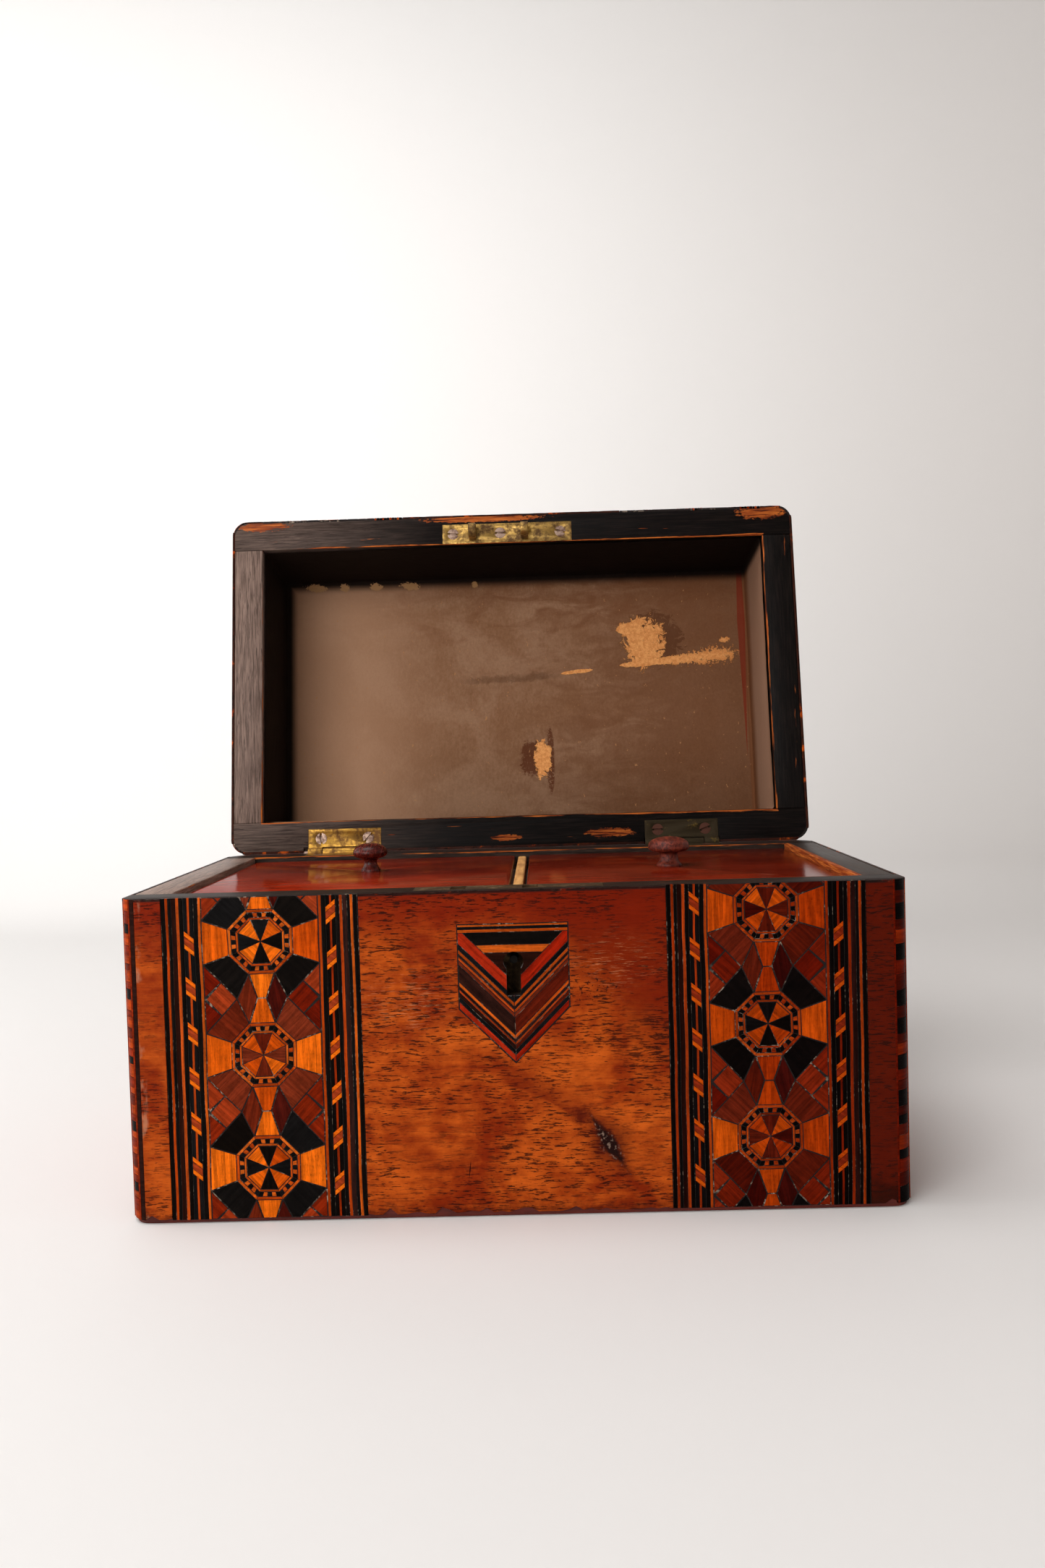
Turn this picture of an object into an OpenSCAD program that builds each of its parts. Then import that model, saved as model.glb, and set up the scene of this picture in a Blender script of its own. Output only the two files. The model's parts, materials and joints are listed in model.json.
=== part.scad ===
// Two-compartment wooden tea caddy with parquetry bands, shown with its lid open.
// Origin: centre of the underside. +X is to the right, +Y to the back, +Z up.

/* [Box] */
// Width of the box, left to right
box_w = 230; // [190:1:300]
// Depth of the box, front to back
box_d = 138; // [115:1:200]
// Height of the lower box, underside to rim
body_h = 96; // [80:1:130]
// Height of the lid, rim to top
lid_h = 54; // [45:1:80]
// Radius of the upright corners
corner_r = 6; // [5:0.5:9]
// Thickness of a wall, with its veneer
wall_t = 12.5; // [12:0.5:16]
// Thickness of the veneer and the parquetry
veneer_t = 1; // [0.6:0.1:1.4]
// Thickness of the base board
base_t = 6; // [4:0.5:10]
// Strip of the base board left bare below the veneer
base_reveal = 1.2; // [0.5:0.1:3]
// Thickness of the lid's top board
lid_top_t = 6; // [4:0.5:10]
// Gap between the two rims when the lid is closed
seam_gap = 0.3; // [0.2:0.05:0.6]
// Angle the lid opens to, from closed
lid_open = 100; // [92:1:110]

/* [Decoration] */
// Distance from the centre line to the middle of each parquetry band
band_x = 73.5; // [60:0.5:80]
// Width of a parquetry band
band_w = 34; // [26:1:40]
// Width of the line-and-rope stringing on each side of a band
string_w = 11.8; // [8:0.1:13]
// How far the corner crossbanding reaches from the corner
corner_band = 4.5; // [3:0.1:5]
// Width of the shield round the keyhole
shield_w = 32; // [24:0.5:36]
// Height of the shield's straight sides
shield_side = 24.5; // [20:0.5:28]
// Distance from the rim down to the top of the shield
shield_drop = 10; // [6:0.5:14]

/* [Compartments] */
// Thickness of the divider
divider_t = 3.2; // [2:0.1:5]
// Offset of the divider from the centre line
divider_x = 1.3; // [-5:0.1:5]
// Thickness of a compartment liner's walls, whose tops are the ledge
liner_t = 2.2; // [1.8:0.1:3]
// Thickness of a liner's floor
liner_floor_t = 1.5; // [1:0.1:3]
// Clearance round a liner
liner_clear = 0.1; // [0.05:0.05:0.3]
// Thickness of an inner lid
inner_lid_t = 5.5; // [4:0.1:7]
// How far the inner lids lie below the rim
inner_lid_drop = 1.8; // [1:0.1:3]
// Clearance between an inner lid and the walls
inner_lid_clear = 0.9; // [0.5:0.1:1.4]
// Clearance between an inner lid and the divider
divider_clear = 1.2; // [0.5:0.1:1.8]
// Radius of an inner lid's corners
inner_lid_r = 2.5; // [1:0.5:6]
// Left knob's cap diameter
knob_left_d = 12; // [9:0.5:16]
// Right knob's cap diameter
knob_right_d = 14; // [9:0.5:16]
// Left knob's place, behind the middle of its lid
knob_left_y = 12; // [-20:1:20]
// Right knob's place, behind the middle of its lid
knob_right_y = 4; // [-20:1:20]
// Height of a knob above its lid
knob_h = 10; // [7:0.5:14]
// Radius of a knob's tenon
tenon_r = 2; // [1.5:0.1:2.5]

/* [Hinges] */
// Length of a hinge
hinge_len = 29; // [22:1:36]
// Place of the left hinge's middle
hinge_left_x = -69.5; // [-80:0.5:-55]
// Place of the right hinge's middle
hinge_right_x = 64.5; // [55:0.5:80]
// Width of a leaf, from the pin's axis
leaf_w = 9.4; // [8:0.1:10.5]
// Thickness of a leaf
leaf_t = 1.2; // [0.9:0.1:1.5]
// Radius of the knuckles
knuckle_r = 1.9; // [1.7:0.1:2.4]
// Length of each outer knuckle
outer_knuckle = 5.8; // [4:0.1:8]
// Radius of the hinge pin
pin_r = 0.8; // [0.6:0.05:1]
// Radial clearance of the pin in the turning knuckles
pin_clear = 0.05; // [0.02:0.01:0.1]
// How far the left hinge's pin stands out of its knuckle
pin_proud = 1.6; // [0.2:0.1:2.5]
// Gap between knuckles, and between a knuckle and the wood
knuckle_gap = 0.35; // [0.3:0.05:0.6]

/* [Lock] */
// Width of the lock case
lock_w = 56; // [50:1:64]
// Offset of the lock case from the keyhole
lock_x = -1; // [-2:0.5:2]
// Depth of the lock case, front to back
lock_d = 8.6; // [8:0.1:9]
// Height of the lock case below its top plate
lock_h = 36; // [34:1:44]
// Thickness of the lock's top plate
top_plate_t = 1.4; // [1:0.1:1.8]
// Thickness of the lock's back plate and side walls
case_t = 1.2; // [1:0.1:1.5]
// Radius of the keyhole's round part
key_r = 2.9; // [2.4:0.1:3.2]
// Width of the keyhole's slot
key_slot_w = 4.2; // [3.4:0.1:4.6]
// Length from the keyhole's round centre to the slot's end
key_slot_len = 10; // [8:0.5:12]
// Depth of the keyhole's centre below the rim
key_drop = 21; // [19:0.5:23]
// Distance the bolt moves
bolt_travel = 5; // [4:0.1:6]
// Thickness of the bolt
bolt_t = 2; // [1.6:0.1:2]
// Width of the link plate on the lid
link_plate_w = 8.1; // [7:0.1:8.2]
// Length of the link plate
link_plate_len = 53; // [50:1:58]
// Place of the left link's middle
link_left_x = -15.9; // [-17:0.1:-15]
// Place of the right link's middle
link_right_x = 5.4; // [5:0.1:6.5]
// Thickness of a link
link_t = 3; // [2.4:0.1:3.2]
// Length of a link, front to back
link_len = 5.6; // [5:0.1:6]
// Distance a link stands out of its plate
link_h = 7.4; // [7:0.1:7.8]
// Side clearance of a link in its slot
link_clear = 0.8; // [0.6:0.1:0.9]

/* [Screws] */
// Radius of a screw head
head_r = 2.35; // [2:0.05:2.6]
// Radius of a screw's shank
shank_r = 1; // [0.8:0.1:1.2]
// Length of a screw, with its head
screw_len = 7; // [5:0.5:9]
// Clearance round a screw and a let-in plate
let_in = 0.05; // [0.02:0.01:0.1]

/* [Hidden] */
$fn = 48;
eps = 0.5;                       // overshoot of a cutting shape
head_t = 1.1;                    // depth of a screw head's cone
half_w = box_w / 2;
half_d = box_d / 2;
board_t = wall_t - veneer_t;     // thickness of a wall's board
in_w = half_w - wall_t;          // inner face of the side boards
in_d = half_d - wall_t;          // inner face of the front and back boards
lid_z = body_h + seam_gap;       // lid's rim when closed
lid_top_z = lid_z + lid_h;       // lid's top when closed
ceiling_z = lid_top_z - veneer_t - lid_top_t;
hinge_y = half_d;
hinge_z = body_h + seam_gap / 2;
lining_t = 0.4;                  // thickness of the lid's paper
lining_margin = 1.6;             // bare wood between the paper and the lid's rim
edge_band = 5;                   // width of the crossbanding round the lid's top
inner_top_z = body_h - inner_lid_drop;
ledge_z = inner_top_z - inner_lid_t;
divider_top = inner_top_z - 0.4;
divider_l = divider_x - divider_t / 2;
divider_r = divider_x + divider_t / 2;
key_z = body_h - key_drop;

// The lock, from its top plate down
lock_l = lock_x - lock_w / 2;
lock_r = lock_x + lock_w / 2;
lock_back = -in_d;               // lock's rear face, level with the board's inner face
lock_front = lock_back - lock_d;
case_top = body_h - top_plate_t;
case_bottom = case_top - lock_h;
cap_t = 1;                       // thickness of the lock's front cover
flange = 6;                      // back plate's width beyond the case, for its screws
flange_h = 24;
flange_z = key_z - 12;
link_y = lock_front + lock_d / 2;
eye_r = 1.9;                     // radius of the hole in a link
eye_drop = 4.4;                  // hole's centre below the lid's rim
finger_h = 2.2;
finger_z = lid_z - eye_drop;
finger_tip = 0.8;                // gap between a link and the withdrawn finger
finger_len = bolt_travel - finger_tip + 0.4;  // its arm stops 0.4 mm short of the link
arm_w = 3;
bolt_z = key_z + 4.5;            // bolt's lower edge
bolt_h = 7;
notch_w = 6;                     // where the key's bit pushes the bolt
notch_h = 3.3;
bolt_r = link_right_x + 8.6;
bolt_l = link_left_x - link_t / 2 - finger_tip - finger_len - arm_w;
spring_tip_x = lock_r - case_t - bolt_travel - 0.8;
stud_r = 0.9;
stud_slot_r = 1.2;
stud_z = bolt_z + bolt_h - 2.5;
stud_places = [bolt_l + 8, bolt_r - 3];
drill_r = 1.2;

// ---- shared shapes ----

// Box between two corners
module span(lo, hi) {
    translate(lo) cube(hi - lo);
}

// Round bar along X
module bar_x(r, x0, x1, y, z) {
    translate([x0, y, z]) rotate([0, 90, 0]) cylinder(r = r, h = x1 - x0);
}

// Round bar along Y
module bar_y(r, y0, y1, x, z) {
    translate([x, y0, z]) rotate([-90, 0, 0]) cylinder(r = r, h = y1 - y0);
}

// Outline of the box seen from above, drawn in by an inset
module plan(inset) {
    r = corner_r - inset;
    x = half_w - inset;
    y = half_d - inset;
    translate([-x + r, -y]) square([2 * (x - r), 2 * y]);
    translate([-x, -y + r]) square([2 * x, 2 * (y - r)]);
    for (sx = [-1, 1], sy = [-1, 1])
        translate([sx * (x - r), sy * (y - r)]) circle(r);
}

// Upright prism on the box's outline
module prism(inset, z0, z1) {
    translate([0, 0, z0]) linear_extrude(z1 - z0) plan(inset);
}

// One veneer's thickness of the box's outer skin
module skin(z0, z1) {
    difference() {
        prism(0, z0, z1);
        prism(veneer_t, z0 - eps, z1 + eps);
    }
}

// Board across the whole front (side -1) or back (side 1)
module long_board(side, z0, z1) {
    y0 = side < 0 ? -half_d : in_d;
    intersection() {
        prism(veneer_t, z0, z1);
        span([-box_w, y0, z0], [box_w, y0 + wall_t, z1]);
    }
}

// Board between the front and back boards, left (side -1) or right (side 1)
module short_board(side, z0, z1) {
    x0 = side < 0 ? -half_w + veneer_t : in_w;
    span([x0, -in_d, z0], [x0 + board_t, in_d, z1]);
}

// Skin between two X values on the front (side -1) or back (side 1)
module long_skin(side, x0, x1, z0, z1) {
    y0 = side < 0 ? -half_d : half_d - veneer_t;
    span([x0, y0, z0], [x1, y0 + veneer_t, z1]);
}

// Skin of a side, between its corner bands
module side_skin(side, z0, z1) {
    x0 = side < 0 ? -half_w : half_w - veneer_t;
    intersection() {
        skin(z0, z1);
        span([x0 - corner_r, -half_d + corner_band, z0],
             [x0 + corner_r, half_d - corner_band, z1]);
    }
}

// The four corner pieces of the skin
module corner_skin(z0, z1) {
    intersection() {
        skin(z0, z1);
        for (sx = [-1, 1], sy = [-1, 1])
            translate([sx * half_w, sy * half_d, z0])
                translate([-corner_band, -corner_band, 0])
                    cube([2 * corner_band, 2 * corner_band, z1 - z0]);
    }
}

// Lid pieces are drawn closed and turned open about the hinge pins
module opened() {
    translate([0, hinge_y, hinge_z])
        rotate([-lid_open, 0, 0])
            translate([0, -hinge_y, -hinge_z])
                children();
}

// Countersunk screw, head upwards at z = 0, with clearance c
module screw(c) {
    translate([0, 0, -head_t]) cylinder(r1 = shank_r + c, r2 = head_r + c, h = head_t);
    translate([0, 0, -screw_len]) cylinder(r = shank_r + c, h = screw_len - head_t + 0.01);
}

// Screw with its driver slot
module slotted_screw(turn) {
    difference() {
        screw(0);
        rotate([0, 0, turn]) span([-head_r - eps, -0.35, -0.5], [head_r + eps, 0.35, eps]);
    }
}

// ---- where things are ----

function hinge_x(side) = side < 0 ? hinge_left_x : hinge_right_x;
function knob_x(side) = side < 0
    ? (-in_w + inner_lid_clear + divider_l - divider_clear) / 2
    : (in_w - inner_lid_clear + divider_r + divider_clear) / 2;
function knob_y(side) = side < 0 ? knob_left_y : knob_right_y;
function pin_start(side) = hinge_x(side) - hinge_len / 2 - (side < 0 ? pin_proud : 0);

// Hinge screws, seen from above: two to a leaf
module at_hinge_screws(z) {
    for (side = [-1, 1], k = [-1, 1])
        translate([hinge_x(side) + k * 9.4, hinge_y - 5.6, z])
            children();
}

// Link plate screws
module at_link_screws() {
    for (x = [-24, -4.6, 20])
        translate([x, link_y, lid_z])
            children();
}

// Lock screws, through the back plate into the front board
module at_lock_screws() {
    for (side = [-1, 1], k = [-1, 1])
        translate([lock_x + side * (lock_w + flange) / 2, lock_back, flange_z + flange_h / 2 + k * 8])
            rotate([-90, 0, 0])
                children();
}

// Room for the knuckles and pins in both rims
module knuckle_room() {
    for (side = [-1, 1])
        bar_x(knuckle_r + knuckle_gap, pin_start(side) - knuckle_gap,
              hinge_x(side) + hinge_len / 2 + knuckle_gap, hinge_y, hinge_z);
}

// Room for the leaves, in the lower rim (side -1) or the lid's rim (side 1)
module leaf_room(side) {
    z0 = side < 0 ? body_h - leaf_t : lid_z - eps;
    z1 = side < 0 ? body_h + eps : lid_z + leaf_t;
    for (s = [-1, 1])
        span([hinge_x(s) - hinge_len / 2 - let_in, hinge_y - leaf_w - let_in, z0],
             [hinge_x(s) + hinge_len / 2 + let_in, hinge_y + eps, z1]);
}

// Round part and slot of the keyhole, between two Y values
module keyhole(y0, y1) {
    bar_y(key_r, y0, y1, 0, key_z);
    span([-key_slot_w / 2, y0, key_z - key_slot_len], [key_slot_w / 2, y1, key_z]);
}

// Shield outline with its point downwards, between two Y values
module shield(y0, y1) {
    w = shield_w / 2;
    top = body_h - shield_drop;
    translate([0, y1, 0]) rotate([90, 0, 0]) linear_extrude(y1 - y0)
        polygon([[-w, top], [w, top], [w, top - shield_side],
                 [0, top - shield_side - w], [-w, top - shield_side]]);
}

// ---- lower box ----

module front_board() color("saddlebrown") {
    difference() {
        long_board(-1, base_t, body_h);
        span([lock_l - let_in, lock_front - let_in, case_bottom - let_in],
             [lock_r + let_in, lock_back + eps, body_h + eps]);
        span([lock_l - flange - let_in, lock_back - case_t, flange_z - let_in],
             [lock_r + flange + let_in, lock_back + eps, flange_z + flange_h + let_in]);
        keyhole(-half_d, lock_front);
        at_lock_screws() screw(let_in);
    }
}

module back_board() color("saddlebrown") {
    difference() {
        long_board(1, base_t, body_h);
        knuckle_room();
        leaf_room(-1);
        at_hinge_screws(body_h) screw(let_in);
    }
}

module left_side_board() color("saddlebrown") short_board(-1, base_t, body_h);

module right_side_board() color("saddlebrown") short_board(1, base_t, body_h);

module base_board() color("brown") prism(veneer_t, 0, base_t);

// Strip of skin on a long side over a parquetry band
module band_skin(side, sign, z0, z1) {
    long_skin(side, sign * band_x - band_w / 2, sign * band_x + band_w / 2, z0, z1);
}

// The two stringing strips beside a band
module string_skin(side, sign, z0, z1) {
    for (k = [-1, 1]) {
        x = sign * band_x + k * (band_w + string_w) / 2;
        long_skin(side, x - string_w / 2, x + string_w / 2, z0, z1);
    }
}

// Plain walnut on the front: two margins and the middle panel
module front_ground(z0, z1) {
    inner = band_x - band_w / 2 - string_w;
    outer = band_x + band_w / 2 + string_w;
    long_skin(-1, -inner, inner, z0, z1);
    intersection() {
        skin(z0, z1);
        for (sign = [-1, 1]) {
            x0 = sign < 0 ? -half_w + corner_band : outer;
            span([x0, -half_d, z0], [x0 + half_w - corner_band - outer, -in_d, z1]);
        }
    }
}

module front_veneer() color("sienna") {
    difference() {
        front_ground(base_reveal, body_h);
        shield(-half_d - eps, -in_d);
    }
}

module back_veneer() color("sienna") {
    difference() {
        intersection() {
            skin(base_reveal, body_h);
            span([-half_w + corner_band, in_d, base_reveal], [half_w - corner_band, half_d, body_h]);
        }
        knuckle_room();
        leaf_room(-1);
    }
}

module left_side_veneer() color("sienna") side_skin(-1, base_reveal, body_h);

module right_side_veneer() color("sienna") side_skin(1, base_reveal, body_h);

module corner_crossbanding() color("peru") corner_skin(base_reveal, body_h);

module parquetry_band_left() color("orange") band_skin(-1, -1, base_reveal, body_h);

module parquetry_band_right() color("orange") band_skin(-1, 1, base_reveal, body_h);

module rope_stringing_left() color("black") string_skin(-1, -1, base_reveal, body_h);

module rope_stringing_right() color("black") string_skin(-1, 1, base_reveal, body_h);

module escutcheon_shield() color("firebrick") {
    difference() {
        shield(-half_d, -half_d + veneer_t);
        keyhole(-half_d - eps, -in_d);
    }
}

module divider() color("burlywood") {
    span([divider_l, -in_d, base_t], [divider_r, in_d, divider_top]);
}

// Open box of thin boards between two X values
module liner(x0, x1) {
    c = liner_clear;
    t = c + liner_t;
    difference() {
        span([x0 + c, -in_d + c, base_t], [x1 - c, in_d - c, ledge_z]);
        span([x0 + t, -in_d + t, base_t + liner_floor_t], [x1 - t, in_d - t, ledge_z + eps]);
    }
}

module left_compartment_liner() color("silver") liner(-in_w, divider_l);

module right_compartment_liner() color("silver") liner(divider_r, in_w);

// Flat lid between two X values, with a hole for its knob's tenon
module inner_lid(x0, x1, side) {
    r = inner_lid_r;
    y = in_d - inner_lid_clear;
    difference() {
        translate([0, 0, ledge_z]) linear_extrude(inner_lid_t) {
            translate([x0 + r, -y]) square([x1 - x0 - 2 * r, 2 * y]);
            translate([x0, -y + r]) square([x1 - x0, 2 * (y - r)]);
            for (x = [x0 + r, x1 - r], s = [-1, 1])
                translate([x, s * (y - r)]) circle(r);
        }
        translate([knob_x(side), knob_y(side), ledge_z - eps])
            cylinder(r = tenon_r + let_in, h = inner_lid_t + 2 * eps);
    }
}

module left_inner_lid() color("maroon") {
    inner_lid(-in_w + inner_lid_clear, divider_l - divider_clear, -1);
}

module right_inner_lid() color("maroon") {
    inner_lid(divider_r + divider_clear, in_w - inner_lid_clear, 1);
}

// Turned knob: tenon, stem, collar and a flattened cap
module knob(d, stem_r, side) {
    r = d / 2;
    translate([knob_x(side), knob_y(side), inner_top_z]) {
        translate([0, 0, -inner_lid_t]) cylinder(r = tenon_r, h = inner_lid_t + eps);
        cylinder(r1 = stem_r * 1.35, r2 = stem_r, h = knob_h * 0.3);
        cylinder(r = stem_r, h = knob_h * 0.7);
        translate([0, 0, knob_h * 0.45]) cylinder(r1 = stem_r, r2 = r * 0.92, h = knob_h * 0.15);
        translate([0, 0, knob_h * 0.6]) cylinder(r1 = r * 0.92, r2 = r, h = knob_h * 0.12);
        translate([0, 0, knob_h * 0.72]) cylinder(r1 = r, r2 = r * 0.72, h = knob_h * 0.2);
        translate([0, 0, knob_h * 0.92]) cylinder(r1 = r * 0.72, r2 = r * 0.35, h = knob_h * 0.08);
    }
}

module left_knob() color("darkred") knob(knob_left_d, 2.4, -1);

module right_knob() color("brown") knob(knob_right_d, 3.2, 1);

// ---- lock ----

// Folded case: top plate, back plate with flanges, sides, bottom and two studs
module lock_case() color("darkkhaki") {
    difference() {
        union() {
            span([lock_l, lock_front, case_top], [lock_r, lock_back, body_h]);
            span([lock_l, lock_back - case_t, case_bottom], [lock_r, lock_back, case_top]);
            span([lock_l - flange, lock_back - case_t, flange_z],
                 [lock_r + flange, lock_back, flange_z + flange_h]);
            for (x = [lock_l, lock_r - case_t])
                span([x, lock_front + cap_t, case_bottom], [x + case_t, lock_back, case_top]);
            span([lock_l, lock_front + cap_t, case_bottom],
                 [lock_r, lock_back, case_bottom + case_t]);
            for (x = stud_places) {
                bar_y(2, link_y + bolt_t / 2 + 0.2, lock_back - case_t / 2, x, stud_z);
                bar_y(stud_r, link_y - bolt_t / 2 - 0.4, lock_back - case_t / 2, x, stud_z);
            }
        }
        for (x = [link_left_x, link_right_x])
            span([x - link_t / 2 - link_clear, link_y - link_len / 2 - 0.6, case_top - eps],
                 [x + link_t / 2 + link_clear, link_y + link_len / 2 + 0.6, body_h + eps]);
        bar_y(drill_r, lock_back - case_t - eps, lock_back + eps, 0, key_z);
        at_lock_screws() screw(let_in);
    }
}

module lock_cover() color("darkkhaki") {
    difference() {
        span([lock_l, lock_front, case_bottom], [lock_r, lock_front + cap_t, case_top]);
        keyhole(lock_front - eps, lock_front + cap_t + eps);
    }
}

// Bolt plate with two hooked fingers that pass through the links
module lock_bolt() color("darkkhaki") {
    y0 = link_y - bolt_t / 2;
    y1 = link_y + bolt_t / 2;
    difference() {
        union() {
            span([bolt_l, y0, bolt_z], [bolt_r, y1, bolt_z + bolt_h]);
            for (x = [link_left_x, link_right_x]) {
                tip = x - link_t / 2 - finger_tip;
                arm = tip - finger_len - arm_w;
                span([arm, y0, bolt_z + bolt_h - eps], [arm + arm_w, y1, finger_z + finger_h / 2]);
                span([arm, y0, finger_z - finger_h / 2], [tip, y1, finger_z + finger_h / 2]);
            }
        }
        span([-(notch_w + bolt_travel) / 2, y0 - eps, bolt_z - eps],
             [(notch_w - bolt_travel) / 2, y1 + eps, bolt_z + notch_h]);
        for (x = stud_places) {
            bar_y(stud_slot_r, y0 - eps, y1 + eps, x, stud_z);
            bar_y(stud_slot_r, y0 - eps, y1 + eps, x - bolt_travel, stud_z);
            span([x - bolt_travel, y0 - eps, stud_z - stud_slot_r],
                 [x, y1 + eps, stud_z + stud_slot_r]);
        }
    }
}

// Bent leaf that rides on the bolt and rubs below the top plate
module lock_back_spring() color("gray") {
    foot = bolt_z + bolt_h;
    tip = case_top - 0.4;
    translate([0, link_y + bolt_t / 2, 0]) rotate([90, 0, 0]) linear_extrude(bolt_t)
        polygon([[bolt_r - 5, foot], [bolt_r - 1, foot], [spring_tip_x, tip - 0.4],
                 [spring_tip_x - 0.5, tip], [bolt_r - 1.4, foot + 0.6], [bolt_r - 5, foot + 0.6]]);
}

module lock_drill_pin() color("gray") {
    bar_y(drill_r, lock_front + 0.1, lock_back, 0, key_z);
}

module lock_screws() color("gray") at_lock_screws() slotted_screw(20);

// ---- hinges ----

// One leaf: lower (half -1) with the middle knuckle, or lid's (half 1) with the outer two
module hinge_leaf(side, half) {
    x0 = hinge_x(side) - hinge_len / 2;
    x1 = x0 + hinge_len;
    mid0 = x0 + outer_knuckle;
    mid1 = x1 - outer_knuckle;
    gap = knuckle_gap / 2;
    z0 = half < 0 ? body_h - leaf_t : lid_z;
    spans = half < 0 ? [[mid0 + gap, mid1 - gap]] : [[x0, mid0 - gap], [mid1 + gap, x1]];
    bore_r = half < 0 ? pin_r + 0.01 : pin_r + pin_clear;
    difference() {
        union() {
            span([x0, hinge_y - leaf_w, z0],
                 [x1, hinge_y - knuckle_r - knuckle_gap, z0 + leaf_t]);
            for (s = spans) {
                span([s[0], hinge_y - leaf_w, z0], [s[1], hinge_y, z0 + leaf_t]);
                bar_x(knuckle_r, s[0], s[1], hinge_y, hinge_z);
            }
        }
        bar_x(bore_r, x0 - eps, x1 + eps, hinge_y, hinge_z);
        if (half < 0) at_hinge_screws(body_h) screw(let_in);
        if (half > 0) at_hinge_screws(lid_z) mirror([0, 0, 1]) screw(let_in);
    }
}

module left_hinge_body_leaf() color("goldenrod") hinge_leaf(-1, -1);

module right_hinge_body_leaf() color("darkgoldenrod") hinge_leaf(1, -1);

module left_hinge_lid_leaf() color("goldenrod") opened() hinge_leaf(-1, 1);

module right_hinge_lid_leaf() color("darkgoldenrod") opened() hinge_leaf(1, 1);

module hinge_pin(side) {
    bar_x(pin_r, pin_start(side), hinge_x(side) + hinge_len / 2, hinge_y, hinge_z);
}

module left_hinge_pin() color("gray") hinge_pin(-1);

module right_hinge_pin() color("gray") hinge_pin(1);

module body_hinge_screws() color("gray") at_hinge_screws(body_h) slotted_screw(35);

module lid_hinge_screws() color("gray") {
    opened() at_hinge_screws(lid_z) mirror([0, 0, 1]) slotted_screw(-60);
}

// ---- lid ----

module lid_front_board() color("saddlebrown") opened() {
    difference() {
        long_board(-1, lid_z, ceiling_z);
        link_plate_room();
        at_link_screws() mirror([0, 0, 1]) screw(let_in);
    }
}

module lid_back_board() color("saddlebrown") opened() {
    difference() {
        long_board(1, lid_z, ceiling_z);
        knuckle_room();
        leaf_room(1);
        at_hinge_screws(lid_z) mirror([0, 0, 1]) screw(let_in);
    }
}

module lid_left_board() color("saddlebrown") opened() short_board(-1, lid_z, ceiling_z);

module lid_right_board() color("saddlebrown") opened() short_board(1, lid_z, ceiling_z);

module lid_top_board() color("saddlebrown") {
    opened() prism(veneer_t, ceiling_z, ceiling_z + lid_top_t);
}

// Slab of the lid's top veneer between two X values, inside its edge banding
module top_slab(x0, x1) {
    span([x0, -half_d + edge_band, lid_top_z - veneer_t], [x1, half_d - edge_band, lid_top_z]);
}

module lid_top_veneer() color("sienna") opened() {
    inner = band_x - band_w / 2 - string_w;
    outer = band_x + band_w / 2 + string_w;
    top_slab(-inner, inner);
    intersection() {
        prism(edge_band, lid_top_z - veneer_t, lid_top_z);
        union() {
            top_slab(-half_w, -outer);
            top_slab(outer, half_w);
        }
    }
}

module lid_front_veneer() color("sienna") {
    opened() front_ground(lid_z, lid_top_z - veneer_t);
}

module lid_back_veneer() color("sienna") opened() {
    difference() {
        intersection() {
            skin(lid_z, lid_top_z - veneer_t);
            span([-half_w + corner_band, in_d, lid_z],
                 [half_w - corner_band, half_d, lid_top_z]);
        }
        knuckle_room();
        leaf_room(1);
    }
}

module lid_left_veneer() color("sienna") opened() side_skin(-1, lid_z, lid_top_z - veneer_t);

module lid_right_veneer() color("sienna") opened() side_skin(1, lid_z, lid_top_z - veneer_t);

module lid_corner_crossbanding() color("peru") {
    opened() corner_skin(lid_z, lid_top_z - veneer_t);
}

module lid_edge_banding() color("peru") opened() {
    difference() {
        prism(0, lid_top_z - veneer_t, lid_top_z);
        prism(edge_band, lid_top_z - veneer_t - eps, lid_top_z + eps);
    }
}

// A band up the lid's front and across its top
module lid_band(sign) {
    opened() {
        band_skin(-1, sign, lid_z, lid_top_z - veneer_t);
        top_slab(sign * band_x - band_w / 2, sign * band_x + band_w / 2);
    }
}

module lid_parquetry_band_left() color("orange") lid_band(-1);

module lid_parquetry_band_right() color("orange") lid_band(1);

// The stringing beside that band
module lid_stringing(sign) {
    opened() {
        string_skin(-1, sign, lid_z, lid_top_z - veneer_t);
        for (k = [-1, 1]) {
            x = sign * band_x + k * (band_w + string_w) / 2;
            top_slab(x - string_w / 2, x + string_w / 2);
        }
    }
}

module lid_rope_stringing_left() color("black") lid_stringing(-1);

module lid_rope_stringing_right() color("black") lid_stringing(1);

// Paper on the ceiling and down the four walls
module lid_paper_lining() color("tan") opened() {
    c = lining_t;
    difference() {
        span([-in_w, -in_d, lid_z + lining_margin], [in_w, in_d, ceiling_z]);
        span([-in_w + c, -in_d + c, lid_z], [in_w - c, in_d - c, ceiling_z - c]);
    }
}

// Link plate's outline with clearance c
module link_plate_block(c, z0, z1) {
    mid = link_left_x + 14.1;
    span([mid - link_plate_len / 2 - c, link_y - link_plate_w / 2 - c, z0],
         [mid + link_plate_len / 2 + c, link_y + link_plate_w / 2 + c, z1]);
}

module link_plate_room() link_plate_block(let_in, lid_z - eps, lid_z + leaf_t);

module link_plate() color("goldenrod") opened() {
    difference() {
        link_plate_block(0, lid_z, lid_z + leaf_t);
        at_link_screws() mirror([0, 0, 1]) screw(let_in);
        for (x = [link_left_x, link_right_x])
            translate([x, link_y, lid_z - eps]) cylinder(r = 1.1, h = leaf_t + 2 * eps);
    }
}

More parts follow.
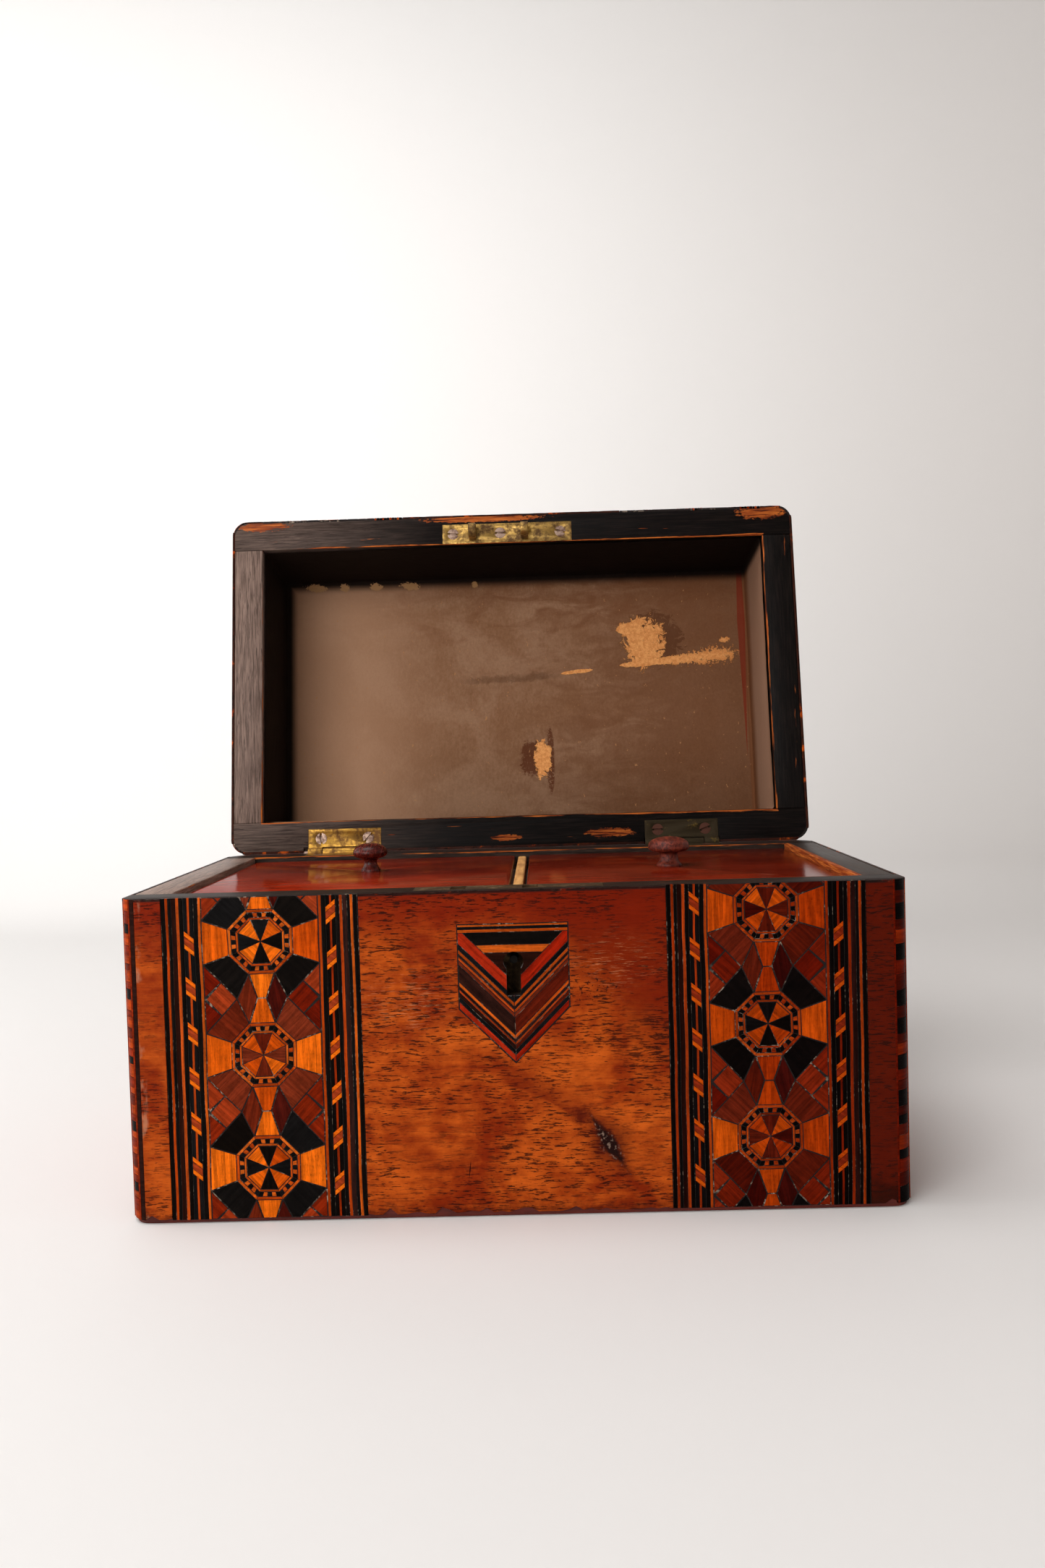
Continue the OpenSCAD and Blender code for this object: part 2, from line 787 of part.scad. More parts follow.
// Two eyes riveted to the link plate
module lock_links() color("goldenrod") opened() {
    tip_r = link_len / 2;
    for (x = [link_left_x, link_right_x]) {
        translate([x, link_y, lid_z - eps]) cylinder(r = 1.1, h = leaf_t + eps);
        difference() {
            union() {
                bar_x(tip_r, x - link_t / 2, x + link_t / 2, link_y, lid_z - link_h + tip_r);
                span([x - link_t / 2, link_y - tip_r, lid_z - link_h + tip_r],
                     [x + link_t / 2, link_y + tip_r, lid_z]);
            }
            bar_x(eye_r, x - link_t, x + link_t, link_y, lid_z - eye_drop);
        }
    }
}

module link_plate_screws() color("gray") {
    opened() at_link_screws() mirror([0, 0, 1]) slotted_screw(50);
}

front_board();
back_board();
left_side_board();
right_side_board();
base_board();
front_veneer();
back_veneer();
left_side_veneer();
right_side_veneer();
corner_crossbanding();
parquetry_band_left();
parquetry_band_right();
rope_stringing_left();
rope_stringing_right();
escutcheon_shield();
divider();
left_compartment_liner();
right_compartment_liner();
left_inner_lid();
left_knob();
right_inner_lid();
right_knob();
lock_case();
lock_cover();
lock_bolt();
lock_back_spring();
lock_drill_pin();
lock_screws();
left_hinge_body_leaf();
right_hinge_body_leaf();
left_hinge_lid_leaf();
right_hinge_lid_leaf();
left_hinge_pin();
right_hinge_pin();
body_hinge_screws();
lid_hinge_screws();
lid_front_board();
lid_back_board();
lid_left_board();
lid_right_board();
lid_top_board();
lid_top_veneer();
lid_front_veneer();
lid_back_veneer();
lid_left_veneer();
lid_right_veneer();
lid_corner_crossbanding();
lid_edge_banding();
lid_parquetry_band_left();
lid_parquetry_band_right();
lid_rope_stringing_left();
lid_rope_stringing_right();
lid_paper_lining();
link_plate();
lock_links();
link_plate_screws();
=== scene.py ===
# %% [markdown]
# # A Victorian tea caddy, built in cells
#
# The caddy is a walnut box with two bands of parquetry, a lid that stands open on two brass hinges,
# and two small inner lids over its compartments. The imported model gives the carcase, the lock and the
# joints at their true sizes. This file gives every piece the surface that a cabinet maker, and a
# hundred and fifty years of use, would leave on it.
#
# The first cell loads that model as a fixed frame. Nothing in it is moved: pieces are built around it.

# %% Load the frame
import json
import math
import random

import bmesh
import bpy
from mathutils import Matrix, Vector, noise


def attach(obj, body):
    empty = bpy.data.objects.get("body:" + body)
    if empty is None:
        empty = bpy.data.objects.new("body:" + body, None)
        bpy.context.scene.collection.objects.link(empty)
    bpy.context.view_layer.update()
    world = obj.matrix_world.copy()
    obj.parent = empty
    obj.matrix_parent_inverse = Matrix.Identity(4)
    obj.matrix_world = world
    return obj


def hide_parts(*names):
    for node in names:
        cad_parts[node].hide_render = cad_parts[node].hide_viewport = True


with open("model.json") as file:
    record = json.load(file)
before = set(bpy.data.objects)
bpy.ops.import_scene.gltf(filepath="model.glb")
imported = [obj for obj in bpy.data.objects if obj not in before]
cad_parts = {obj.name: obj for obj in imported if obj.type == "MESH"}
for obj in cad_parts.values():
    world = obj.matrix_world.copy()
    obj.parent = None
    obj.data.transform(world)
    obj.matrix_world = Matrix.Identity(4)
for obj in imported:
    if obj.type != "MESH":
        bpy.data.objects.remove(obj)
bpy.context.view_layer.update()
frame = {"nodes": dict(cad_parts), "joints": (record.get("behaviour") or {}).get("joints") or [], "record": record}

# %% [markdown]
# ## One set of measures
#
# The caddy is easiest to describe closed, with all its sides square to the axes, but it stands open.
# So every piece is laid out in millimetres as if the lid were shut, and the lid's pieces are turned
# back about the hinge at the end. `ajar` is that turn, read from the joint.

# %% Measures
MM = 0.001
BODY, LID = "caddy_body", "lid"
hinge = next(joint for joint in frame["joints"] if joint["name"] == "lid_hinge")
pivot = Matrix.Translation(Vector(hinge["pos_m"]))
swing = Matrix.Rotation(math.radians(hinge["range_deg"][1]), 4, Vector(hinge["axis"]))
shut = pivot @ swing @ pivot.inverted()
ajar = shut.inverted()


def body_of_node(node):
    """The body that a node of the model rides on."""
    return next(b for b, members in frame["record"]["behaviour"]["bodies"].items() if node in members)


def box(node):
    """Lowest and highest corner of a node in millimetres, with the lid shut."""
    turn = shut if body_of_node(node) == LID else Matrix.Identity(4)
    points = [turn @ vertex.co / MM for vertex in frame["nodes"][node].data.vertices]
    return (Vector(tuple(min(p[i] for p in points) for i in range(3))),
            Vector(tuple(max(p[i] for p in points) for i in range(3))))


skin_low, skin_high = box("corner_crossbanding")
LEFT, FRONT, FOOT = skin_low
RIGHT, BACK, RIM = skin_high
lid_low, lid_high = box("lid_edge_banding")
LID_TOP = lid_high.z
LID_RIM = box("lid_corner_crossbanding")[0].z
BAND_X = (box("parquetry_band_right")[0].x + box("parquetry_band_right")[1].x) / 2
BAND_W = box("parquetry_band_right")[1].x - box("parquetry_band_right")[0].x
VENEER = box("parquetry_band_right")[1].y - box("parquetry_band_right")[0].y
WALL = RIGHT - box("lid_paper_lining")[1].x
CORNER_R = 6.0
print("rim", RIM, "lid top", LID_TOP, "bands at", BAND_X, "width", BAND_W, "veneer", VENEER, "wall", WALL)

# %% [markdown]
# ## Writing nodes as sums
#
# A material or a Geometry Nodes tree is a sum written with boxes and wires. `Wire` stands for one
# output socket and turns `2 * a + b` into the Math nodes that compute it. `Bench.add` makes any other
# node: its type, then its settings, then what goes into its sockets. A wire also has the smooth step,
# the lower and the higher of two values, because most wear and grain patterns need them.


# %% Wires and benches
class Wire:
    """One output of a node. Arithmetic on it adds Math nodes."""

    def __init__(self, bench, socket):
        self.bench = bench
        self.socket = socket

    def math(self, operation, a, b=0.0):
        return self.bench.add("ShaderNodeMath", {"operation": operation}, {0: a, 1: b})

    def __add__(self, other):
        return self.math("ADD", self, other)

    def __radd__(self, other):
        return self.math("ADD", other, self)

    def __sub__(self, other):
        return self.math("SUBTRACT", self, other)

    def __rsub__(self, other):
        return self.math("SUBTRACT", other, self)

    def __mul__(self, other):
        return self.math("MULTIPLY", self, other)

    def __rmul__(self, other):
        return self.math("MULTIPLY", other, self)

    def __truediv__(self, other):
        return self.math("DIVIDE", self, other)

    def __pow__(self, other):
        return self.math("POWER", self, other)

    def __abs__(self):
        return self.math("ABSOLUTE", self)

    def low(self, other):
        return self.math("MINIMUM", self, other)

    def high(self, other):
        return self.math("MAXIMUM", self, other)

    def step(self, start, end):
        """0 below start, 1 above end, smooth between. start may be above end."""
        return self.bench.add("ShaderNodeMapRange", {"interpolation_type": "SMOOTHSTEP"},
                              {"Value": self, "From Min": start, "From Max": end})

    def out(self, name):
        """Another output of the same node."""
        return Wire(self.bench, self.socket.node.outputs[name])


class Bench:
    """A node tree that nodes are added to."""

    def __init__(self, tree):
        self.tree = tree

    def add(self, kind, settings=None, sockets=None):
        """A new node with its settings and inputs. Gives the first output that is in use."""
        node = self.tree.nodes.new(kind)
        for key, value in (settings or {}).items():
            setattr(node, key, value)
        for key, value in (sockets or {}).items():
            if isinstance(value, Wire):
                self.tree.links.new(value.socket, node.inputs[key])
            else:
                node.inputs[key].default_value = value
        shown = [socket for socket in node.outputs if socket.enabled]
        return Wire(self, shown[0]) if shown else node


# %% [markdown]
# ## A finish
#
# `Finish` is a bench for one material with one Principled shader. The grain of wood has to follow the
# board and not the camera, so the patterns read `place`, an attribute that holds each point's position
# in millimetres with the lid shut. One walnut finish then serves the box and its turned lid alike.
# A finish is built up as a polisher does it: a first colour, then coat over coat, each by its share. A
# mark is a `blot` or a `dash` whose value grows from its middle, made ragged by noise and cut by a step.


# %% Finish
class Finish(Bench):
    """A material with one Principled shader. Fixed values go straight into its sockets."""

    def __init__(self, name, **fixed):
        self.material = bpy.data.materials.new(name)
        self.material.use_nodes = True
        super().__init__(self.material.node_tree)
        self.shader = self.tree.nodes["Principled BSDF"]
        self.colour = None
        for key, value in fixed.items():
            self.shader.inputs[key.replace("_", " ").title().replace("Ior", "IOR")].default_value = value

    def attribute(self, name, output="Vector"):
        return self.add("ShaderNodeAttribute", {"attribute_name": name}).out(output)

    def axes(self, vector):
        parts = self.add("ShaderNodeSeparateXYZ", sockets={0: vector})
        return parts.out("X"), parts.out("Y"), parts.out("Z")

    def vector(self, x, y, z=0.0):
        return self.add("ShaderNodeCombineXYZ", sockets={0: x, 1: y, 2: z})

    def stretch(self, vector, x, y, z):
        return self.add("ShaderNodeVectorMath", {"operation": "MULTIPLY"}, {0: vector, 1: (x, y, z)})

    def noise(self, vector, scale=1.0, detail=3.0, rough=0.5, warp=0.0):
        return self.add("ShaderNodeTexNoise", sockets={
            "Vector": vector, "Scale": scale, "Detail": detail, "Roughness": rough, "Distortion": warp})

    def grain(self, vector, scales, detail=3.0, rough=0.5, warp=0.0):
        """Noise drawn out along the axes whose scale is small."""
        return self.noise(self.stretch(vector, *scales), 1.0, detail, rough, warp)

    def mix(self, a, b, share, how="MIX"):
        """Two colours mixed, each a wire or three numbers."""
        def ink(c):
            return c if isinstance(c, Wire) else (*c, 1.0)
        return self.add("ShaderNodeMix", {"data_type": "RGBA", "blend_type": how},
                        {0: share, 6: ink(a), 7: ink(b)})

    def coat(self, ink, share):
        """Lays a colour over the finish so far, by a share from 0 to 1."""
        self.colour = self.mix(self.colour, ink, share)

    def shade(self, red, green=None):
        """Makes the finish so far darker or lighter by a factor, or by two: for red and for the rest."""
        green = red if green is None else green
        self.colour = self.mix(self.colour, self.vector(red, green, green), 1.0, "MULTIPLY")

    def paint(self, roughness=None, height=None, depth=0.1, metallic=None):
        """Wires the finish into the shader. Height and depth in millimetres make the bumps."""
        for key, value in (("Base Color", self.colour), ("Roughness", roughness), ("Metallic", metallic)):
            if value is not None:
                self.tree.links.new(value.socket, self.shader.inputs[key])
        if height is not None:
            bump = self.add("ShaderNodeBump", sockets={"Height": height, "Distance": depth * MM})
            self.tree.links.new(bump.socket, self.shader.inputs["Normal"])
        return self.material


def blot(a, b, middle, size, power=2):
    """0 in the middle of a blot, 1 at its edge and more outside, from two wires in millimetres."""
    return ((a - middle[0]) / size[0]) ** power + ((b - middle[1]) / size[1]) ** power


def dash(a, b, middle, fall):
    """0 in the middle of a mark, growing by its own fall per millimetre along a and along b."""
    return abs(a - middle[0]) * fall[0] + abs(b - middle[1]) * fall[1]


# %% [markdown]
# ## From a mesh to a piece
#
# Every piece ends the same way. Its closed-lid position is stored in `place`, it is turned open if it
# belongs to the lid, it rides on its body, it takes a finish, and it stands for the plain nodes that it
# replaces. Keeping the object at the origin keeps the patterns where they are when the lid moves.


# %% Finish a piece
def mesh_of(bm, name):
    """A mesh made of a bmesh, which is used up."""
    mesh = bpy.data.meshes.new(name)
    bm.to_mesh(mesh)
    bm.free()
    return mesh


def make_piece(name, bm, body, material, replaces=(), angle=35):
    """Turns a bmesh in millimetres, with the lid shut, into a finished piece."""
    finish_mesh(name, mesh_of(bm, name), body, material, replaces, angle)


def finish_mesh(name, mesh, body, material, replaces=(), angle=35):
    """The same for a mesh: its place, its turn, its finish, its body and what it replaces."""
    place = mesh.attributes.new("place", "FLOAT_VECTOR", "POINT")
    place.data.foreach_set("vector", [c for vertex in mesh.vertices for c in vertex.co])
    mesh.transform(Matrix.Scale(MM, 4))
    if body == LID:
        mesh.transform(ajar)
    mesh.polygons.foreach_set("use_smooth", [True] * len(mesh.polygons))
    mesh.set_sharp_from_angle(angle=math.radians(angle))
    if material.name not in mesh.materials:
        mesh.materials.append(material)
    piece = bpy.data.objects.new(name, mesh)
    bpy.context.scene.collection.objects.link(piece)
    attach(piece, body)
    if replaces:
        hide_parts(*replaces)
    print(name, "-", len(mesh.polygons), "faces on", body)


def node_shape(node):
    """A merged copy of a node's mesh in millimetres, with the lid shut."""
    bm = bmesh.new()
    bm.from_mesh(frame["nodes"][node].data)
    if body_of_node(node) == LID:
        bm.transform(shut)
    bm.transform(Matrix.Scale(1 / MM, 4))
    bmesh.ops.remove_doubles(bm, verts=bm.verts, dist=0.002)
    bmesh.ops.dissolve_limit(bm, angle_limit=math.radians(0.6), verts=bm.verts, edges=bm.edges)
    return bm


def ease(bm, width, steps=2, corner=40):
    """Rounds every sharp edge a little, as glasspaper and handling do."""
    sharp = [e for e in bm.edges if len(e.link_faces) == 2 and e.calc_face_angle() > math.radians(corner)]
    bmesh.ops.bevel(bm, geom=sharp, offset=width, segments=steps, profile=0.5, affect="EDGES",
                    clamp_overlap=True)
    return bm


def eased(node, material, width, steps=2):
    """A piece with a node's own shape and softened edges."""
    make_piece(node + "_eased", ease(node_shape(node), width, steps), body_of_node(node), material,
               [node])


# %% [markdown]
# ## Camera, floor and light
#
# The view is a close one, a little above the rim and slightly turned and tilted, and it is set first. Its
# lens is short for such a small object, which is why the sides converge. The floor curves up into a pale
# backdrop on all sides, like a paper sweep.

# %% Camera
EYE = Vector((10.1, -438.6, 140.6))
YAW, PITCH, ROLL = 0.917, -2.183, 1.662
turn = (Matrix.Rotation(math.radians(YAW), 4, "Z") @ Matrix.Rotation(math.radians(PITCH), 4, "X")
        @ Matrix.Rotation(math.radians(ROLL), 4, "Y"))
lens = bpy.data.cameras.new("front_camera")
lens.sensor_width = 36.0
lens.lens = 29.43
lens.clip_start, lens.clip_end = 0.01, 30.0
camera = bpy.data.objects.new("front_camera", lens)
bpy.context.scene.collection.objects.link(camera)
camera.matrix_world = Matrix.Translation(EYE * MM) @ turn @ Matrix.Rotation(math.radians(90), 4, "X")
bpy.context.scene.camera = camera
print("camera", lens.lens, "mm, at", tuple(round(c, 3) for c in camera.location))

# %% Floor and backdrop
SWEEP_RADIUS, SWEEP_CURVE, SWEEP_HEIGHT = 1500.0, 500.0, 2400.0


def sweep():
    """A floor disc whose edge curves up into a wall."""
    profile = [(0.0, 0.0), (SWEEP_RADIUS - SWEEP_CURVE, 0.0)]
    profile += [(SWEEP_RADIUS - SWEEP_CURVE + SWEEP_CURVE * math.sin(a), SWEEP_CURVE * (1 - math.cos(a)))
                for a in [math.radians(9 * k) for k in range(1, 11)]]
    profile.append((SWEEP_RADIUS, SWEEP_HEIGHT))
    bm = bmesh.new()
    line = [bm.verts.new((r, 0.0, z)) for r, z in profile]
    edges = [bm.edges.new(pair) for pair in zip(line, line[1:])]
    bmesh.ops.spin(bm, geom=line + edges, cent=(0, 0, 0), axis=(0, 0, 1), angle=math.tau, steps=96,
                   use_merge=True)
    bmesh.ops.remove_doubles(bm, verts=bm.verts, dist=0.01)
    bm.transform(Matrix.Scale(MM, 4))
    mesh = mesh_of(bm, "paper_sweep")
    mesh.polygons.foreach_set("use_smooth", [True] * len(mesh.polygons))
    paper = Finish("sweep_paper", roughness=0.8, specular_ior_level=0.1)
    x, y, z = paper.axes(paper.add("ShaderNodeTexCoord").out("Object"))
    # Painted light: the paper is made darker towards the right, standing for light that falls off across the
    # sweep.
    paper.colour = paper.mix((0.92, 0.905, 0.89), (0.66, 0.63, 0.61), (x - y * 0.1).step(-0.7, 0.9))
    mesh.materials.append(paper.paint())
    piece = bpy.data.objects.new("paper_sweep", mesh)
    bpy.context.scene.collection.objects.link(piece)


sweep()

# %% Lights
def soft_box(name, place, aim, size, watts):
    """A square area light at a place in millimetres, aimed at a point."""
    light = bpy.data.lights.new(name, "AREA")
    light.size, light.energy = size * MM, watts
    lamp = bpy.data.objects.new(name, light)
    lamp.visible_camera = False
    bpy.context.scene.collection.objects.link(lamp)
    lamp.location = Vector(place) * MM
    lamp.rotation_euler = (Vector(aim) - Vector(place)).to_track_quat("-Z", "Y").to_euler()


soft_box("key_light", (-500, -950, 430), (0, 0, 90), 640, 6.4)
soft_box("side_light", (-900, 60, 420), (0, 0, 80), 420, 1.6)
soft_box("top_light", (-330, -150, 1300), (0, 0, 0), 800, 8.6)
soft_box("backdrop_light", (-420, 500, 900), (-370, 1500, 900), 900, 6.5)
world = bpy.data.worlds.new("studio")
world.use_nodes = True
world.node_tree.nodes["Background"].inputs["Color"].default_value = (1.0, 0.98, 0.96, 1)
world.node_tree.nodes["Background"].inputs["Strength"].default_value = 0.16
bpy.context.scene.world = world
bpy.context.scene.view_settings.view_transform = "Standard"
print("four soft lights and a pale sweep")

# %% [markdown]
# ## Woods
#
# Parquetry takes its effect from the contrast of a few woods: black ebony, golden satinwood and
# boxwood, and red-brown kingwood, rosewood and padouk. Each tile carries its own wood and its own
# grain direction, so one finish can serve all of them. The colour is stored on the tile's faces as
# `stain` and the grain runs along the tile's own `grain` map.

# %% Colours of the woods
WOODS = {
    "ebony": (0.004, 0.003, 0.0025),
    "satinwood": (0.53, 0.078, 0.002),
    "boxwood": (0.39, 0.058, 0.004),
    "amber": (0.31, 0.036, 0.003),
    "kingwood": (0.092, 0.0085, 0.0018),
    "bloodwood": (0.18, 0.0145, 0.002),
    "rosewood": (0.085, 0.008, 0.002),
    "padouk": (0.27, 0.012, 0.002),
    "partridge": (0.048, 0.0035, 0.0015),
    "fumed": (0.020, 0.006, 0.004),
}


def veneer_finish():
    """Polished veneers: stain from the tile, streaks and pores along its grain."""
    f = Finish("polished_veneers", specular_ior_level=0.018)
    place = f.attribute("place")
    x, y, z = f.axes(place)
    grain = f.attribute("grain")
    streaks = f.grain(grain, (0.06, 0.85, 1), 5, 0.65, 0.4)
    figure = f.grain(grain, (0.45, 0.16, 1), 2, 0.5, 0.6)
    hairs = f.grain(grain, (0.75, 6.5, 1), 2, 0.6).step(0.60, 0.70)
    mottle = f.grain(grain, (1.1, 0.8, 1), 3, 0.6)
    tone = 0.16 + 1.40 * streaks.step(0.30, 0.70) * streaks + 0.50 * figure + 0.50 * mottle - 0.50 * hairs
    # Painted shade: the veneers darken towards the right, green and blue more than red, standing for light that
    # falls off to the right.
    painted_falloff = 1.0 - 0.42 * x.step(-20, 90)
    wear = f.noise(place, 0.35, 5, 0.65)
    f.colour = f.attribute("stain", "Color")
    f.shade(tone * painted_falloff, tone * painted_falloff ** 1.7)
    f.coat((0.06, 0.022, 0.012), wear.step(0.60, 0.78) * 0.16)
    return f.paint(0.26 + 0.22 * wear + 0.15 * hairs, streaks * 0.5 - hairs * 0.6, 0.05)


def glue_finish():
    """Old glue and filler in the joints: nearly black, with pale crumbs."""
    f = Finish("old_glue", roughness=0.7, specular_ior_level=0.2)
    place = f.attribute("place")
    crumbs = f.noise(place, 0.9, 3, 0.6).step(0.50, 0.62)
    patches = f.noise(place, 0.10, 3, 0.6).step(0.46, 0.66)
    f.colour = f.mix((0.008, 0.004, 0.003), (0.30, 0.23, 0.17), crumbs * patches)
    return f.paint(height=crumbs, depth=0.05)


VENEERS = veneer_finish()
GLUE = glue_finish()

# %% [markdown]
# ## Laying veneer on a panel
#
# A tile is cut with a knife, so its sides are straight but never quite true, and glue fills the narrow
# gap around it. `Panel` gives a flat side its own u and v in millimetres, with u from the left and v
# down from the rim. `Marquetry.lay` cuts one tile to an outline, leaves the gap, rounds its upper edge
# and lets it wander a little, as hand-cut work does. The wander's noise has a fixed seed, so every run
# cuts the same tiles.


# %% Panel
class Panel:
    """A flat side of the caddy with its own u, v and depth, in millimetres."""

    def __init__(self, corner, across, down, out):
        self.corner, self.across, self.down, self.out = map(Vector, (corner, across, down, out))

    def point(self, u, v, depth):
        return self.corner + self.across * u + self.down * v - self.out * depth


front = Panel((LEFT, FRONT, RIM), (1, 0, 0), (0, 0, -1), (0, -1, 0))
lid_front = Panel((LEFT, FRONT, LID_RIM), (1, 0, 0), (0, 0, -1), (0, -1, 0))
lid_over = Panel((LEFT, FRONT - (LID_TOP - LID_RIM), LID_TOP), (1, 0, 0), (0, -1, 0), (0, 0, 1))
FACE_H = RIM - FOOT
LID_H = LID_TOP - LID_RIM
DEPTH = BACK - FRONT


# %% Outlines
def area(outline):
    """Positive for an anticlockwise outline."""
    return sum(a[0] * b[1] - b[0] * a[1] for a, b in zip(outline, outline[1:] + outline[:1])) / 2


def inset(outline, by):
    """An anticlockwise outline with every side moved inwards."""
    moved = []
    for i, here in enumerate(outline):
        before, after = Vector(outline[i - 1]), Vector(outline[(i + 1) % len(outline)])
        here = Vector(here)
        first, second = (here - before).normalized(), (after - here).normalized()
        n0, n1 = Vector((-first.y, first.x)), Vector((-second.y, second.x))
        moved.append(tuple(here + (n0 + n1) * (by / max(0.25, 1 + n0.dot(n1)))))
    return moved


def plain_rect(low_u, high_u, top, bottom):
    return [(low_u, top), (high_u, top), (high_u, bottom), (low_u, bottom)]


def clip(outline, low_u, high_u, low_v, high_v):
    """The part of a convex outline inside a rectangle."""
    for axis, limit, side in ((0, low_u, 1), (0, high_u, -1), (1, low_v, 1), (1, high_v, -1)):
        kept = []
        for a, b in zip(outline, outline[1:] + outline[:1]):
            da, db = side * (a[axis] - limit), side * (b[axis] - limit)
            if da >= 0:
                kept.append(a)
            if (da > 0 > db) or (da < 0 < db):
                t = da / (da - db)
                kept.append((a[0] + t * (b[0] - a[0]), a[1] + t * (b[1] - a[1])))
        outline = kept
        if len(outline) < 3:
            return []
    return outline


# %% Marquetry
KERF = 0.19
ARRIS = 0.07
LONGEST_CUT = 7.0
SMALLEST_TILE = 0.05
UNEVEN_WOODS = ("kingwood", "bloodwood")
noise.seed_set(7)


class Marquetry:
    """Veneer pieces on one panel, gathered into one mesh."""

    def __init__(self, panel, seed, wander=0.16):
        self.panel, self.dice, self.wander = panel, random.Random(seed), wander
        self.bm = bmesh.new()
        self.grain = self.bm.loops.layers.uv.new("grain")
        self.stain = self.bm.loops.layers.float_color.new("stain")

    def strayed(self, u, v):
        """Hand-cut work wanders slowly from the line."""
        drift = noise.noise_vector(Vector((u * 0.07, v * 0.07, 3.1)))
        return u + drift.x * self.wander * 2, v + drift.y * self.wander * 2

    def lay(self, outline, wood, grain=0.0, kerf=KERF, sink=None, stray=True):
        """One tile: its outline, its wood, its grain in degrees from u, and its gap to the next."""
        if len(outline) < 3 or abs(area(outline)) < SMALLEST_TILE:
            return
        if area(outline) < 0:
            outline = outline[::-1]
        fine = []
        for a, b in zip(outline, outline[1:] + outline[:1]):
            parts = max(1, round(math.dist(a, b) / LONGEST_CUT))
            fine += [(a[0] + (b[0] - a[0]) * k / parts, a[1] + (b[1] - a[1]) * k / parts)
                     for k in range(parts)]
        if stray:
            fine = [self.strayed(u, v) for u, v in fine]
        sink = self.dice.uniform(0.02, 0.07) if sink is None else sink
        edge, top = inset(fine, kerf), inset(fine, kerf + ARRIS)
        rings = [[self.bm.verts.new(self.panel.point(u, v, depth)) for u, v in ring]
                 for ring, depth in ((top, sink), (edge, sink + ARRIS), (edge, VENEER))]
        faces = [self.bm.faces.new(rings[0]), self.bm.faces.new(rings[2][::-1])]
        for upper, lower in zip(rings, rings[1:]):
            for i in range(len(upper)):
                faces.append(self.bm.faces.new((upper[i - 1], lower[i - 1], lower[i], upper[i])))
        bend, shift = math.radians(grain), self.dice.uniform(-400, 400)
        tint = self.dice.uniform(0.70, 1.30)
        spread = 1.8 if wood in UNEVEN_WOODS else 1.0
        colour = [c * tint ** (spread * (1 + k)) for k, c in enumerate(WOODS[wood])] + [1.0]
        for face in faces:
            for loop in face.loops:
                offset = loop.vert.co - self.panel.corner
                u, v = offset.dot(self.panel.across), offset.dot(self.panel.down)
                loop[self.grain].uv = (u * math.cos(bend) + v * math.sin(bend) + shift,
                                       v * math.cos(bend) - u * math.sin(bend) + shift)
                loop[self.stain] = colour

    def done(self):
        """The mesh with all its faces outwards."""
        bmesh.ops.recalc_face_normals(self.bm, faces=self.bm.faces)
        return self.bm


# %% [markdown]
# ## The parquetry bands
#
# A band is a column of eight-sided medallions a third of a decimetre apart. Each has a star of eight
# triangles, a ring of small checks between two light lines, pale wings to left and right, and four
# corner tiles. Between two medallions stand a pair of kites and, at each edge, a square on its corner
# between two triangles. All of it follows from the medallion's centre and a few radii, so one function
# lays a whole column. The lid's column continues the box's, up its front and over its top.

# %% Medallions
PERIOD = 33.3
STAR_R, LINE_R, CHECK_R, OUTER_R = 6.35, 7.05, 8.45, 9.4
HALF = BAND_W / 2
SIDE = math.tan(math.radians(22.5))
WAIST = PERIOD / 2
WING_END, NECK, EDGE_GAP = 6.5, 3.7, 0.3
KITE_IN, KITE_MID, KITE_OUT, KITE_TALL = 1.3, 3.9, 7.4, 7.25
SQUARE_U, SQUARE_R, SQUARE_OUT = 12.0, 4.85, 16.6


def turned(points, angle):
    """Points turned about (0, 0) by an angle in radians."""
    c, s = math.cos(angle), math.sin(angle)
    return [(u * c - v * s, u * s + v * c) for u, v in points]


def ring_part(inner, outer, start, end, angle):
    """A part of one side of an eight-sided ring, from share start to share end of that side."""
    corners = [(start * inner, inner), (end * inner, inner), (end * outer, outer), (start * outer, outer)]
    return turned([(s * SIDE, r) for s, r in corners], angle)


def medallion(put, dark):
    """Star, ring and wings about (0, 0). put(outline, wood, grain, kerf) lays a tile."""
    for k in range(8):
        angle = k * math.pi / 4
        star = turned([(0, 0), (-STAR_R * SIDE, STAR_R), (STAR_R * SIDE, STAR_R)], angle)
        put(star, dark if k % 2 == 0 else "satinwood", 90 - 45 * k, 0.10)
        put(ring_part(STAR_R + 0.1, LINE_R, -1, 1, angle), "boxwood", -45 * k, 0.05)
        for check in range(5):
            span = (-1 + 0.4 * check, -0.6 + 0.4 * check)
            put(ring_part(LINE_R + 0.08, CHECK_R, *span, angle),
                "boxwood" if check % 2 else "ebony", 0, 0.07)
        put(ring_part(CHECK_R + 0.08, OUTER_R, -1, 1, angle), "boxwood", -45 * k, 0.07)
    flat = OUTER_R * SIDE
    for side in (-1, 1):
        wing = [(side * OUTER_R, -flat), (side * OUTER_R, flat),
                (side * HALF, WING_END), (side * HALF, -WING_END)]
        put(wing, "satinwood", 90, KERF)
        put([(-NECK, side * OUTER_R), (NECK, side * OUTER_R),
             (KITE_IN, side * WAIST), (-KITE_IN, side * WAIST)], "satinwood", 90, KERF)
        for rise in (-1, 1):
            corner = [(side * flat, rise * OUTER_R), (side * OUTER_R, rise * flat),
                      (side * HALF, rise * WING_END), (side * KITE_OUT, rise * WAIST)]
            put(corner, dark, 45 * side * rise, KERF)


